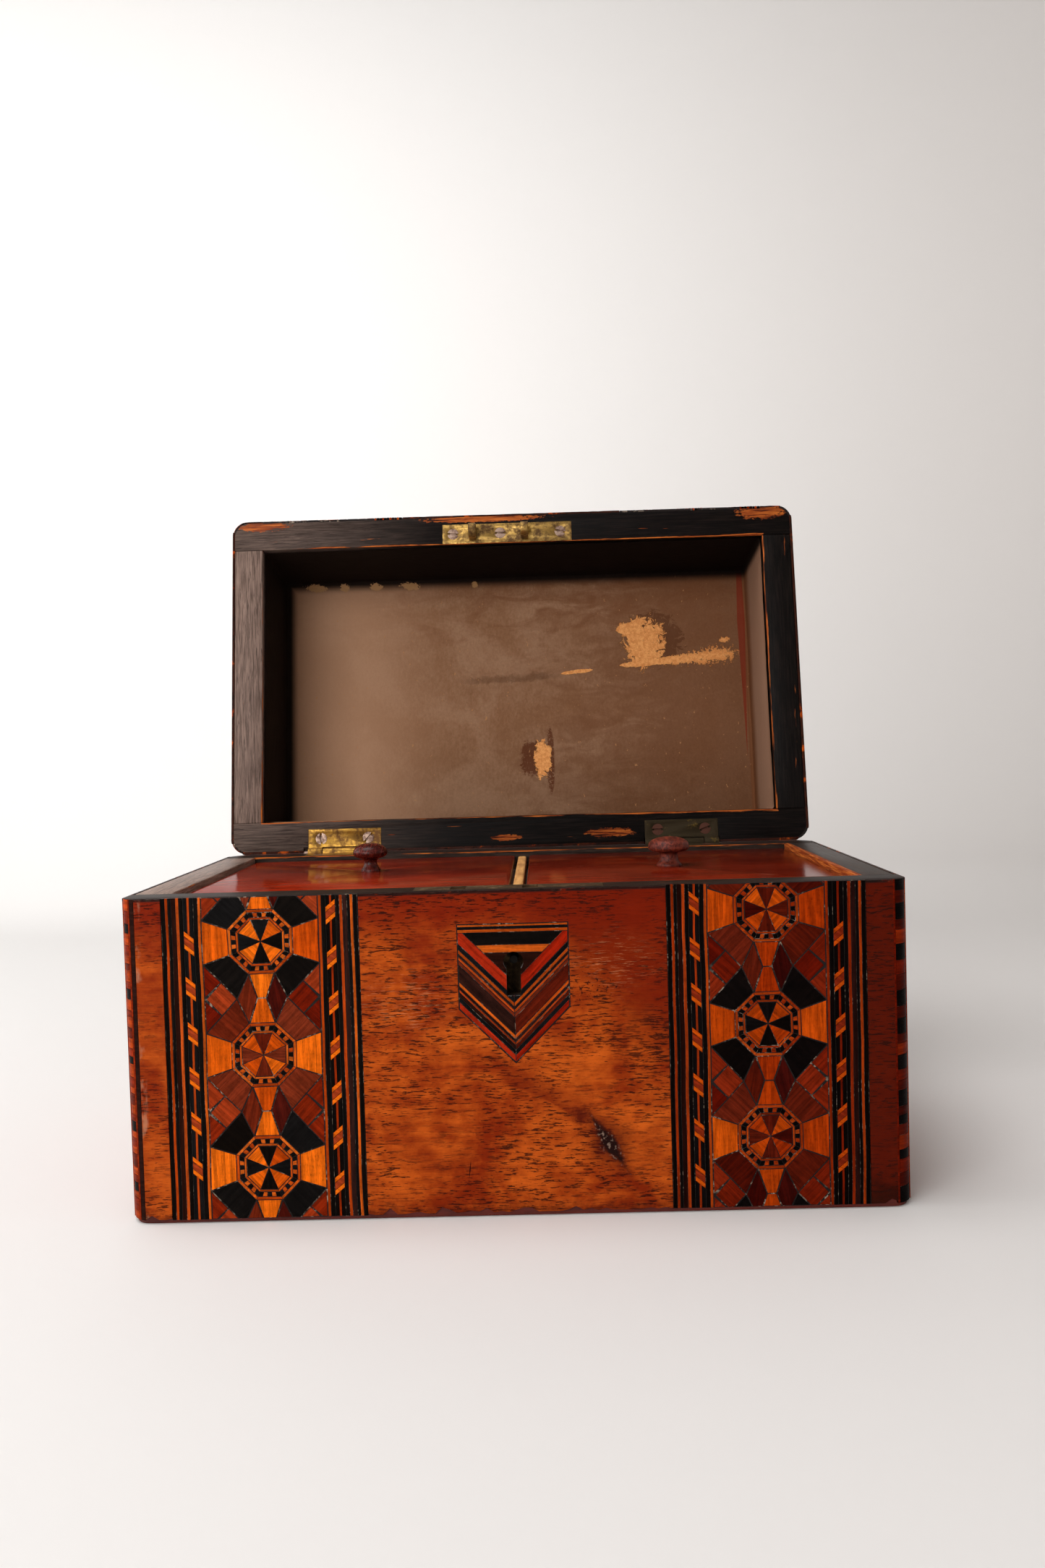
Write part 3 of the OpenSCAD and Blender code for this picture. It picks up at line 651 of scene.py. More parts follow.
def between(put, side):
    """Kite, square and triangles at one side of the waist between two medallions."""
    put([(side * KITE_MID, -KITE_TALL), (side * KITE_OUT, 0), (side * KITE_MID, KITE_TALL),
         (side * KITE_IN, 0)], "partridge" if side > 0 else "kingwood", 80 * side, KERF)
    put([(side * KITE_OUT, 0), (side * SQUARE_U, -SQUARE_R), (side * SQUARE_OUT, 0),
         (side * SQUARE_U, SQUARE_R)], "bloodwood", -45 * side, KERF)
    for rise in (-1, 1):
        put([(side * SQUARE_U, rise * SQUARE_R), (side * HALF, rise * (WAIST - WING_END)),
             (side * HALF, rise * EDGE_GAP)], "bloodwood", 45 * side * rise, KERF)


def parquetry(work, centre, first, top, bottom):
    """Lays a column of medallions between two v values, with a dark one centred at v = first."""
    start = math.floor((top - first) / PERIOD) - 1
    for k in range(start, math.ceil((bottom - first) / PERIOD) + 2):
        v0 = first + k * PERIOD
        dark = "kingwood" if k % 2 else "ebony"

        def put_at(middle):
            def put(outline, wood, grain, kerf):
                moved = [(centre + u, middle + v) for u, v in outline]
                work.lay(clip(moved, centre - HALF, centre + HALF, top, bottom), wood, grain, kerf)
            return put

        medallion(put_at(v0), dark)
        for side in (-1, 1):
            between(put_at(v0 + WAIST), side)


# %% [markdown]
# ## Rope stringing
#
# Beside each band run lines of ebony and boxwood with a rope in the middle: slanting slips of light and
# red wood on a black ground. The slips repeat evenly, so a Geometry Nodes tree sets one slip along a
# line with a small random shift, and its result is turned into plain faces. The lines are long fillets.

# %% Rope tree
def new_tree(name, result, **inputs):
    """A Geometry Nodes tree with a kind of socket for each named input: its bench and its input node."""
    tree = bpy.data.node_groups.new(name, "GeometryNodeTree")
    for label, kind in inputs.items():
        tree.interface.new_socket(label, in_out="INPUT", socket_type="NodeSocket" + kind)
    tree.interface.new_socket(result, in_out="OUTPUT", socket_type="NodeSocketGeometry")
    bench = Bench(tree)
    return bench, bench.add("NodeGroupInput")


def copies_at(points, bench, given, result, **turn):
    """Ends a tree: its Copy is set at each point, made real and given its Finish."""
    copy = bench.add("GeometryNodeObjectInfo", sockets={"Object": given.out("Copy")}).out("Geometry")
    row = bench.add("GeometryNodeInstanceOnPoints", sockets={"Points": points, "Instance": copy, **turn})
    row = bench.add("GeometryNodeRealizeInstances", sockets={"Geometry": row})
    row = bench.add("GeometryNodeSetMaterial", sockets={"Geometry": row, "Material": given.out("Finish")})
    end = bench.tree.nodes.new("NodeGroupOutput")
    bench.tree.links.new(row.socket, end.inputs[result])
    return bench.tree


def row_tree():
    """Sets copies of one object along a line, each a little out of place."""
    b, given = new_tree("slips_in_a_row", "Row", Copy="Object", Count="Int", Start="Vector", Step="Vector",
                        Stray="Float", Finish="Material")
    line = b.add("GeometryNodeMeshLine", {"mode": "OFFSET"}, {
        "Count": given.out("Count"), "Start Location": given.out("Start"), "Offset": given.out("Step")})
    shift = b.add("FunctionNodeRandomValue", {"data_type": "FLOAT_VECTOR"}, {
        "Min": (-1, 0, -1), "Max": (1, 0, 1), "Seed": 7})
    shift = b.add("ShaderNodeVectorMath", {"operation": "SCALE"}, {0: shift, "Scale": given.out("Stray")})
    line = b.add("GeometryNodeSetPosition", sockets={"Geometry": line, "Offset": shift})
    return copies_at(line, b, given, "Row")


def grown(tree, name, points=(), **inputs):
    """The mesh that a Geometry Nodes tree makes from these inputs, and from a mesh of points."""
    seeds = bpy.data.meshes.new(name)
    seeds.from_pydata([tuple(p) for p in points], [], [])
    host = bpy.data.objects.new(name, seeds)
    bpy.context.scene.collection.objects.link(host)
    modifier = host.modifiers.new("growth", "NODES")
    modifier.node_group = tree
    for item in tree.interface.items_tree:
        if item.in_out == "INPUT" and item.name in inputs:
            modifier[item.identifier] = inputs[item.name]
    depsgraph = bpy.context.evaluated_depsgraph_get()
    mesh = bpy.data.meshes.new_from_object(host.evaluated_get(depsgraph), preserve_all_data_layers=True,
                                           depsgraph=depsgraph)
    bpy.data.objects.remove(host)
    return mesh


ROW = row_tree()
print("one tree for rows of slips")

# %% Strings
FILLETS = [("boxwood", 0.85), ("ebony", 1.2), ("rope", 3.0), ("ebony", 1.05), ("amber", 0.95),
           ("fumed", 1.3), ("ebony", 0.8), ("boxwood", 0.85), ("ebony", 1.15)]
STRING_W = (box("rope_stringing_right")[1].x - box("rope_stringing_right")[0].x - BAND_W) / 2
SLIP_PERIOD, SLIP_LEAN = 13.3, 2.4
SLIP_BARS = [(1.5, "satinwood"), (2.2, "bloodwood"), (1.5, "satinwood")]
SLIP_H = sum(tall for tall, wood in SLIP_BARS)
FIRST_GAP, FILLET_GAP = 0.12, 0.05
CORE_HALF = 0.38


def slip(panel, width, lean, seed):
    """One slip of rope: three slanting bars about the panel's corner, as an object to copy."""
    still = Panel((0, 0, 0), panel.across, panel.down, panel.out)
    work = Marquetry(still, seed, 0)
    left = -SLIP_H / 2 - lean / 2
    for tall, wood in SLIP_BARS:
        right = left + lean
        work.lay([(-width / 2, left), (width / 2, right), (width / 2, right + tall),
                  (-width / 2, left + tall)], wood, 30, 0.06, 0.0, False)
        left += tall
    return bpy.data.objects.new("slip", mesh_of(work.done(), "slip"))


def string(work, edge, side, first, top, bottom):
    """One strip of stringing, from the band's edge outwards, with its rope."""
    across = FIRST_GAP
    for wood, width in FILLETS:
        near, far = edge + side * across, edge + side * (across + width)
        low, high = min(near, far), max(near, far)
        if wood == "rope":
            rope_at, rope_w = (low + high) / 2, width
            core = plain_rect(rope_at - CORE_HALF, rope_at + CORE_HALF, top, bottom)
            work.lay(plain_rect(low, high, top, bottom), "ebony", 90, 0.05, 0.09)
            work.lay(core, "amber", 90, 0.04, 0.06)
        else:
            work.lay(plain_rect(low, high, top, bottom), wood, 90, 0.05)
        across += width + FILLET_GAP
    reach = (SLIP_LEAN + SLIP_H) / 2
    start = first + math.ceil((top + reach - first) / SLIP_PERIOD) * SLIP_PERIOD
    count = int((bottom - reach - start) // SLIP_PERIOD) + 1
    copy = slip(work.panel, rope_w - 0.1, -side * SLIP_LEAN, 5)
    rows = grown(ROW, "rope", Copy=copy, Count=count, Start=work.panel.point(rope_at, start, 0.01),
                 Step=work.panel.down * SLIP_PERIOD, Stray=0.10, Finish=VENEERS)
    work.bm.from_mesh(rows)
    bpy.data.objects.remove(copy)


# %% [markdown]
# ## Setting out the front
#
# With those functions the front is set out as the maker would: a bed of glue, the bands, and the
# strings to left and right of each. The slips lean away from the band on its left and towards it on its
# right. The same call sets out the lid's front and top.

# %% Bands and strings
# Each band: its centre, the v of one medallion, and the v of one slip in its left and its right rope.
BANDS = {"left": (RIGHT - BAND_X, 13.2, (0.0, 5.0)), "right": (RIGHT + BAND_X, 41.0, (5.5, 2.0))}


def set_out(side, prefix, body, stretches):
    """One band with its strings, its bed of glue, over one or more stretches of panel."""
    centre, first, rope_first = BANDS[side]
    made = {"tiles": None, "strings": None, "bed": None}
    for panel, top, bottom in stretches:
        tiles, strings, bed = (Marquetry(panel, seed) for seed in (11, 12, 13))
        parquetry(tiles, centre, first, top, bottom)
        for sign, start in zip((-1, 1), rope_first):
            string(strings, centre + sign * HALF, sign, start, top, bottom)
        reach = HALF + STRING_W
        bed.lay(plain_rect(centre - reach, centre + reach, top, bottom), "fumed", 0, 0.0, 0.2, False)
        for key, work in (("tiles", tiles), ("strings", strings), ("bed", bed)):
            if made[key] is None:
                made[key] = work.done()
            else:
                made[key].from_mesh(mesh_of(work.done(), "part"))
    make_piece(f"{prefix}parquetry_{side}", made["tiles"], body, VENEERS,
               [f"{prefix}parquetry_band_{side}"])
    make_piece(f"{prefix}strings_{side}", made["strings"], body, VENEERS,
               [f"{prefix}rope_stringing_{side}"])
    make_piece(f"{prefix}glue_bed_{side}", made["bed"], body, GLUE)


EDGE_BAND = 5.0
for side in BANDS:
    set_out(side, "", BODY, [(front, 0.0, FACE_H)])
    set_out(side, "lid_", LID, [(lid_front, -LID_H + VENEER, 0.0),
                                (lid_over, -LID_H - DEPTH + EDGE_BAND, -LID_H - EDGE_BAND)])

# %% [markdown]
# ## The shield
#
# The keyhole sits in a shield pieced from straight strips. Three lines and a black bar cross its top,
# and below them bands of several woods run down at forty-five degrees to meet on the centre line. Each
# strip is a four-sided outline that is cut off by the shield's edge. The keyhole itself is cut through
# all of them with a Boolean, as the maker would saw it through the finished shield.

# %% Shield
shield_low, shield_high = box("escutcheon_shield")
SHIELD_HALF = (shield_high.x - shield_low.x) / 2
SHIELD_TOP = RIM - shield_high.z
SHIELD_TIP = RIM - shield_low.z
SHIELD_SIDE = SHIELD_TIP - SHIELD_HALF
SHIELD_OUTLINE = [(-SHIELD_HALF, SHIELD_TOP), (SHIELD_HALF, SHIELD_TOP), (SHIELD_HALF, SHIELD_SIDE),
                  (0, SHIELD_TIP), (-SHIELD_HALF, SHIELD_SIDE)]
RECESS = inset(SHIELD_OUTLINE, -0.30)
POCKET_TIP = 26.9


def stacked(start, *strips):
    """Strips one below another, from a v value, as (top, bottom, wood)."""
    rows = []
    for wood, width in strips:
        rows.append((start, start + width, wood))
        start += width
    return rows


BARS = stacked(10.0, ("boxwood", 0.6), ("ebony", 0.8), ("boxwood", 0.9))
POCKET = stacked(12.3, ("ebony", 3.7), ("boxwood", 2.3), ("fumed", 8.6))
CHEVRONS = stacked(10.9, ("padouk", 4.5), ("ebony", 1.6), ("boxwood", 1.3), ("fumed", 0.8), ("amber", 1.1),
                   ("kingwood", 1.3), ("rosewood", 5.0), ("boxwood", 1.3), ("fumed", 0.9), ("amber", 0.9),
                   ("rosewood", 1.4), ("ebony", 1.4), ("padouk", SHIELD_SIDE - 32.4))
KEY_R, KEY_SLOT, KEY_DROP, KEY_LENGTH = 2.9, 2.1, 21.0, 10.0
print(len(BARS + POCKET + 2 * CHEVRONS), "strips in the shield")


def cutter_of(outline, reach):
    """A solid of an outline on the front, for taking out of something."""
    bm = bmesh.new()
    far, near = ([bm.verts.new(front.point(RIGHT + u, v, depth)) for u, v in outline]
                 for depth in (reach, -reach))
    bm.faces.new(far)
    bm.faces.new(near[::-1])
    for i in range(len(outline)):
        bm.faces.new((far[i - 1], near[i - 1], near[i], far[i]))
    bmesh.ops.recalc_face_normals(bm, faces=bm.faces)
    return bpy.data.objects.new("cutter", mesh_of(bm, "cutter"))


def keyhole_outline():
    """The round part and the slot below it."""
    start = math.asin(KEY_SLOT / KEY_R)
    arc = [start + (math.tau - 2 * start) * k / 24 for k in range(25)]
    return ([(-KEY_SLOT, KEY_DROP + KEY_LENGTH), (KEY_SLOT, KEY_DROP + KEY_LENGTH)]
            + [(KEY_R * math.sin(a), KEY_DROP + KEY_R * math.cos(a)) for a in arc])


def cut(bm, cutter):
    """A bmesh with a cutter's shape taken out of it."""
    host = bpy.data.objects.new("uncut", mesh_of(bm, "uncut"))
    for o in (host, cutter):
        bpy.context.scene.collection.objects.link(o)
    saw = host.modifiers.new("saw", "BOOLEAN")
    saw.object, saw.operation, saw.solver = cutter, "DIFFERENCE", "EXACT"
    saw.use_self = True
    depsgraph = bpy.context.evaluated_depsgraph_get()
    done = bpy.data.meshes.new_from_object(host.evaluated_get(depsgraph), preserve_all_data_layers=True,
                                           depsgraph=depsgraph)
    for o in (host, cutter):
        bpy.data.objects.remove(o)
    result = bmesh.new()
    result.from_mesh(done)
    return result


def shield():
    """The shield's strips and their bed of glue, both with the keyhole sawn out."""
    work = Marquetry(front, 21, 0.05)
    middle = RIGHT
    pocket_top = POCKET[0][0]
    for top, bottom, wood in BARS:
        work.lay(plain_rect(middle - SHIELD_HALF, middle + SHIELD_HALF, top, bottom), wood, 0, 0.05)
    for top, bottom, wood in POCKET:
        wide, narrow = POCKET_TIP - top, POCKET_TIP - bottom
        outline = [(middle - wide, top), (middle + wide, top)]
        if narrow > SMALLEST_TILE:
            outline += [(middle + narrow, bottom), (middle - narrow, bottom)]
        else:
            outline.append((middle, POCKET_TIP))
        work.lay(outline, wood, 0, 0.09)
    for top, bottom, wood in CHEVRONS:
        for side in (-1, 1):
            outline = [(side * SHIELD_HALF, top), (0, top + SHIELD_HALF), (0, bottom + SHIELD_HALF),
                       (side * SHIELD_HALF, bottom)]
            outline = [(middle + u, v) for u, v in outline]
            shaded = "fumed" if wood == "rosewood" and side < 0 else wood
            work.lay(clip(outline, 0, 2 * RIGHT, pocket_top, SHIELD_TIP), shaded, 45 * -side, 0.10)
    bed = Marquetry(front, 22, 0)
    bed.lay([(middle + u, v) for u, v in RECESS], "fumed", 0, 0.0, 0.2, False)
    for name, laid, finish, replaced in (("shield_of_strips", work, VENEERS, ["escutcheon_shield"]),
                                         ("shield_bed", bed, GLUE, [])):
        sawn = cut(laid.done(), cutter_of(keyhole_outline(), 4))
        make_piece(name, sawn, BODY, finish, replaced)


shield()

# %% [markdown]
# ## Walnut
#
# The plain panels are walnut with the grain across the box. Old polish leaves it orange-brown, with short
# dark pores, a slow ripple in the figure, dull scuffs and a few scratches. The front has more to show: a
# deep red band below the rim, painted shade that darkens it towards the right and most at its right edge
# and foot, rubbed polish round the keyhole, a small burn, two cuts, a flow line, dirty knots, a worn rim
# and a grimy foot. All of it is computed from the piece's place, so the pattern runs on from one panel to
# the next.


# %% Walnut finish
def red_band_and_painted_shade(f, x, z, figure, grain, mottle):
    """A deep red band below the rim, and painted shade: darker towards the right, darkest at the right edge and
    foot.
    """
    edge = (x + 6 * figure).step(98, 106)
    f.coat((0.165, 0.008, 0.001), (z + 14 * figure + 8 * grain).step(88, 102) * 0.85)
    f.coat((0.145, 0.008, 0.001), (x + 0.9 * z + 34 * figure).step(90, 116) * 0.90)
    f.coat((0.070, 0.005, 0.001), edge * 0.88)
    f.coat((0.022, 0.003, 0.001), edge * (z + 20 * mottle).step(24, 12) * 0.8)


def rubbed_polish(f, place, x, z, drift):
    """Pale rubbed patches at the left and right of the shield, and a flow line of the figure."""
    rubbed = f.grain(place, (0.25, 0.25, 2.6), 4, 0.7).step(0.52, 0.72)
    left = (dash(x, z, (-30, 64), (0.05, 0.09)) + drift * 0.8).step(1.6, 0.6)
    right = (dash(x, z, (30, 74), (0.05, 0.08)) + drift * 0.8).step(1.6, 0.6)
    f.coat((0.55, 0.22, 0.09), rubbed * left.high(right) * 0.62)
    bend = z - 39 + 0.28 * (x + 3) + 0.0115 * (x + 3) ** 2
    flow = bend.step(9, 0.5) * bend.step(-0.6, 0.3) * abs(x - 8).step(16, 9)
    f.coat((0.13, 0.010, 0.002), flow * 0.60)


BURN_X, BURN_Z = 26.5, 21
BURN_COS, BURN_SIN = 0.53, 0.84


def burn_mark(f, place, x, z, ragged):
    """A slanting burn with its brown halo, its smudge and flakes of char. Gives back its share."""
    along = BURN_COS * (x - BURN_X) - BURN_SIN * (z - BURN_Z)
    across = BURN_SIN * (x - BURN_X) + BURN_COS * (z - BURN_Z)
    burn = (abs(across) * 0.40 + abs(along) * 0.11 + ragged * 0.75).step(1.95, 1.20)
    halo = (abs(across) * 0.14 + abs(along) * 0.080 + ragged * 0.35).step(1.75, 0.6)
    smudge = (((x - 18.8) ** 2 + (z - 29.4) ** 2) * 0.08 + ragged * 1.5).step(2.5, 1.2)
    f.coat((0.060, 0.004, 0.002), (halo * 0.82).high(smudge * 0.80))
    f.coat((0.014, 0.004, 0.003), burn)
    f.coat((0.36, 0.24, 0.18), f.noise(place, 1.0, 3).step(0.55, 0.66) * burn * 0.50)
    return burn


def knocks(f, place, x, z, ragged, specks):
    """Dirty knots, worn edges, two cuts in the veneer and grime along the foot."""
    knots = (dash(x, z, (21, 67), (0.09, 0.20)) + ragged * 0.8).step(1.75, 1.35)
    f.coat((0.010, 0.004, 0.003), knots * f.noise(place, 0.8, 3, 0.6).step(0.55, 0.64) * 0.85)
    worn_edge = z.step(RIM - 0.9, RIM - 0.2).high((x + 108.9).step(0.9, 0.0) * 0.7)
    flaked = f.grain(place, (0.30, 0.30, 0.12), 3, 0.6).step(0.52, 0.68)
    f.coat((0.46, 0.24, 0.14), worn_edge * flaked * 0.70)
    gouge = dash(x, z, (-27.5, 32.4), (0.24, 4.0)).step(1.15, 0.8)
    nick = dash(z, x - 0.12 * (z - 14.2), (14.2, -14.4), (0.33, 4.5)).step(1.15, 0.8)
    f.coat((0.025, 0.004, 0.002), gouge.high(nick) * (0.45 + specks))
    f.coat((0.030, 0.006, 0.003), (z * 0.16 + ragged * 0.9).step(1.6, 0.7) * 0.55)


def walnut(name, light, dark, marks=False):
    """Polished walnut with pores and scratches. marks adds what has happened to the front."""
    f = Finish(name, specular_ior_level=0.035)
    place = f.attribute("place")
    x, y, z = f.axes(place)
    drift = f.grain(place, (0.02, 0.02, 0.05), 2)
    grain = f.grain(place, (0.030, 0.030, 0.42), 6, 0.62, 0.8)
    fine = f.grain(place, (0.16, 0.16, 2.2), 3, 0.6)
    figure = f.grain(place, (0.030, 0.030, 0.026), 4, 0.6, 1.2)
    mottle = f.grain(place, (0.14, 0.14, 0.22), 4, 0.65)
    specks = f.grain(place, (0.34, 0.34, 2.2), 3, 0.62)
    gathered = f.grain(place, (0.05, 0.05, 0.05), 3)
    thick = 0.055 * dash(x, z, (36, 52), (0.05, 0.06)).step(1.0, 0.2) if marks else 0.0
    pores = (specks + thick).step(0.540, 0.615) * gathered.step(0.26, 0.52)
    dashes = f.grain(place, (0.13, 0.13, 1.3), 2, 0.5).step(0.690, 0.725)
    f.colour = f.mix(dark, light, (0.22 * grain + 0.62 * figure + 0.36 * mottle).step(0.44, 0.78))
    if marks:
        red_band_and_painted_shade(f, x, z, figure, grain, mottle)
    f.shade(0.48 + 0.20 * grain + 0.46 * fine + 0.38 * mottle)
    f.coat((0.020, 0.004, 0.002), (pores * 0.88).high(dashes * 0.8))
    rough = 0.27 + 0.14 * drift + 0.25 * pores
    height = fine * 0.4 - pores + drift * 2.0
    if marks:
        ragged = f.noise(place, 0.50, 4, 0.7, 0.5) * 1.6
        rubbed_polish(f, place, x, z, drift)
        burn = burn_mark(f, place, x, z, ragged)
        knocks(f, place, x, z, ragged, specks)
        rough = rough + burn * 0.25
        height = height - burn * 1.2
    scratches = abs(f.grain(place, (0.05, 0.05, 0.9), 1, 0.4, 2.5) - 0.5).step(0.0035, 0.0)
    f.coat((0.05, 0.012, 0.006), scratches * f.noise(place, 0.06, 2).step(0.55, 0.66) * 0.6)
    seam = abs(z - (RIM + LID_RIM) / 2).step(1.3, 0.7) * mottle.step(0.66, 0.58)
    f.coat((0.010, 0.006, 0.005), seam * 0.92)
    return f.paint(rough, height, 0.07)


FRONT_WALNUT = walnut("walnut_front", (0.51, 0.090, 0.008), (0.20, 0.017, 0.002), True)
SIDE_WALNUT = walnut("walnut", (0.40, 0.066, 0.007), (0.16, 0.014, 0.002))

# %% [markdown]
# ## Panels of walnut
#
# The panels are thin sheets with worn edges. Veneer chips where it is knocked, so the foot and the rim
# of each sheet are cut back here and there by random bites, most of them tiny. The front sheet is cut
# out round the shield.


# %% Panels
CHIP_SPACING = 2.2


def ragged_rect(low_u, high_u, top, bottom, seed, top_chip=0.18, foot_chip=2.2):
    """A rectangle whose top and foot have small chips."""
    dice = random.Random(seed)
    steps = max(3, round((high_u - low_u) / CHIP_SPACING))

    def bite(limit):
        return limit * dice.random() ** 4

    across = [low_u + (high_u - low_u) * k / steps for k in range(steps + 1)]
    upper = [(u, top + bite(top_chip)) for u in across]
    lower = [(u, bottom - bite(foot_chip)) for u in reversed(across)]
    return upper + lower


MARGIN = 4.5
INNER = BAND_X - HALF - STRING_W
OUTER = BAND_X + HALF + STRING_W
SHEETS = [(MARGIN, RIGHT - OUTER), (RIGHT - INNER, RIGHT + INNER), (RIGHT + OUTER, 2 * RIGHT - MARGIN)]


def follow_corner(bm):
    """Bends a sheet's outer edges round the upright corners."""
    for vertex in bm.verts:
        beyond = abs(vertex.co.x) - (RIGHT - CORNER_R)
        if beyond > 0:
            vertex.co.y += CORNER_R - math.sqrt(CORNER_R ** 2 - min(beyond, CORNER_R) ** 2)


def sheets(panel, seed, top, bottom, chips_seed, *chips, margin=0.0):
    """The plain sheets beside and between the bands, from left to right, in one mesh."""
    work = Marquetry(panel, seed, 0)
    for index, (low_u, high_u) in enumerate(SHEETS):
        outline = ragged_rect(max(low_u, margin), min(high_u, 2 * RIGHT - margin), top, bottom,
                              chips_seed + index, *chips)
        work.lay(outline, "amber", 0, 0.08, 0.03, False)
    return work.done()


front_bm = cut(sheets(front, 31, 0, FACE_H, 40), cutter_of(RECESS, 2))
follow_corner(front_bm)
make_piece("front_sheets", front_bm, BODY, FRONT_WALNUT, ["front_veneer"])

lid_bm = sheets(lid_front, 32, -LID_H + VENEER, 0, 50, 0.1, 0.25)
follow_corner(lid_bm)
make_piece("lid_front_sheets", lid_bm, LID, SIDE_WALNUT, ["lid_front_veneer"])

top_bm = sheets(lid_over, 33, -LID_H - DEPTH + EDGE_BAND, -LID_H - EDGE_BAND, 60, 0.1, 0.1,
                margin=EDGE_BAND)
make_piece("lid_top_sheets", top_bm, LID, SIDE_WALNUT, ["lid_top_veneer"])

for node in ("back_veneer", "left_side_veneer", "right_side_veneer", "lid_back_veneer",
             "lid_left_veneer", "lid_right_veneer"):
    eased(node, SIDE_WALNUT, 0.12)

# %% [markdown]
# ## Crossbanded corners
#
# The upright corners are rounded, and veneer will not bend along its grain, so the maker set short
# blocks with the grain running round the corner, one above another in light and dark woods. Each block
# is a small bent bar between two angles. A red line and a dark one part the blocks from the panel. The
# left corners have shorter blocks than the right ones, and other woods.

# %% Corner blocks
def bent_block(work, sign_x, sign_y, span, low, high, wood, proud=0.0):
    """A block of veneer round an upright corner, between two angles from the front or the back."""
    radius, steps = CORNER_R - 0.03 + proud, 6
    tint = work.dice.uniform(0.8, 1.2)
    colour = [c * tint for c in WOODS[wood]] + [1.0]
    shift = work.dice.uniform(-300, 300)
    rings = []
    for k in range(steps + 1):
        a = math.radians(span[0] + (span[1] - span[0]) * k / steps)
        rings.append([work.bm.verts.new(((RIGHT - CORNER_R + r * math.sin(a)) * sign_x,
                                         (BACK - CORNER_R + r * math.cos(a)) * sign_y, z))
                      for r, z in ((radius, low), (radius, high), (CORNER_R - VENEER, high),
                                   (CORNER_R - VENEER, low))])
    faces = [work.bm.faces.new(rings[0]), work.bm.faces.new(rings[-1][::-1])]
    for a, b in zip(rings, rings[1:]):
        for i in range(4):
            faces.append(work.bm.faces.new((a[i - 1], a[i], b[i], b[i - 1])))
    for face in faces:
        for loop in face.loops:
            co = loop.vert.co
            loop[work.grain].uv = ((abs(co.x) - abs(co.y)) * 0.7 + shift, co.z + shift)
            loop[work.stain] = colour


# Each side: the angle its blocks start at, their least and greatest height, their woods in turn.
BLOCKS = {
    -1: (37, (1.8, 4.2), ("amber", "bloodwood", "amber", "ebony", "bloodwood", "amber", "rosewood")),
    1: (20, (2.6, 5.2), ("ebony", "kingwood", "bloodwood", "ebony", "amber", "kingwood", "ebony",
                         "rosewood")),
}
BLOCK_END, LINE_START = 75, 14.8
BLOCK_GAP, HEAD_GAP = 0.07, 0.03
SHORTEST_BLOCK = 1.5


def corners(name, body, low, high, seed, replaces):
    """The blocks and lines of all four upright corners of the box or the lid, on a bed of glue."""
    work = Marquetry(front, seed, 0)
    bed = Marquetry(front, seed + 1, 0)
    head = high - HEAD_GAP
    for sign_x, (start, heights, woods) in BLOCKS.items():
        for sign_y in (-1, 1):
            z, index = low, 0
            while z < high - 1:
                tall = work.dice.uniform(*heights)
                top = min(head, z + tall) if high - z - tall > SHORTEST_BLOCK else head
                bent_block(work, sign_x, sign_y, (start, BLOCK_END), z + BLOCK_GAP, top - BLOCK_GAP,
                           woods[index % len(woods)], work.dice.uniform(-0.04, 0.0))
                z, index = top, index + 1
            bent_block(work, sign_x, sign_y, (start - 7, start - 1), low, head, "bloodwood")
            bent_block(work, sign_x, sign_y, (LINE_START, start - 8), low, head, "fumed", -0.05)
            bent_block(bed, sign_x, sign_y, (LINE_START - 0.2, BLOCK_END + 0.3), low, high - 0.05, "fumed",
                       -0.22)
    bmesh.ops.recalc_face_normals(work.bm, faces=work.bm.faces)
    ease(work.bm, 0.06, 1, 50)
    make_piece(name, work.done(), body, VENEERS, replaces)
    make_piece(name + "_bed", bed.done(), body, GLUE)


corners("corner_blocks", BODY, FOOT, RIM, 71, ["corner_crossbanding"])
corners("lid_corner_blocks", LID, LID_RIM, LID_TOP - VENEER, 73, ["lid_corner_crossbanding"])

# %% [markdown]
# ## Crossbanding round the lid's top
#
# The top has the same banding laid flat: blocks whose grain points outwards, mitred where two sides
# meet. One quarter of a corner is drawn and mirrored, and the blocks between are dealt out at random
# widths, because that is how offcuts were used up.

# %% Top banding
def top_banding():
    """Blocks along the four edges of the lid's top, with two mitred quarters at each corner."""
    work = Marquetry(lid_over, 81, 0)
    span_u, span_v = 2 * RIGHT, DEPTH
    arc = [(CORNER_R - CORNER_R * math.sin(math.radians(a)), CORNER_R - CORNER_R * math.cos(math.radians(a)))
           for a in (0, 15, 30, 45)]
    wedge = arc + [(EDGE_BAND, EDGE_BAND), (CORNER_R, EDGE_BAND)]
    for flip_u in (False, True):
        for flip_v in (False, True):
            for swap in (False, True):
                points = [(v, u) if swap else (u, v) for u, v in wedge]
                outline = [(span_u - u if flip_u else u, -LID_H - (span_v - v if flip_v else v))
                           for u, v in points]
                work.lay(outline, "kingwood" if swap else "rosewood", 0 if swap else 90, 0.07)
    for along_u in (True, False):
        length = span_u if along_u else span_v
        for far in (False, True):
            at = CORNER_R
            while at < length - CORNER_R - 0.01:
                wide = work.dice.uniform(3, 6)
                end = at + wide if length - CORNER_R - at - wide > 2 else length - CORNER_R
                near_edge = (span_v if along_u else span_u) - EDGE_BAND if far else 0
                block = plain_rect(at, end, near_edge, near_edge + EDGE_BAND)
                outline = [(a, -LID_H - b) if along_u else (b, -LID_H - a) for a, b in block]
                wood = ("rosewood", "kingwood", "amber", "ebony")[work.dice.randrange(4)]
                work.lay(outline, wood, 90 if along_u else 0, 0.07)
                at = end
    make_piece("lid_top_banding", work.done(), LID, VENEERS, ["lid_edge_banding"])


top_banding()
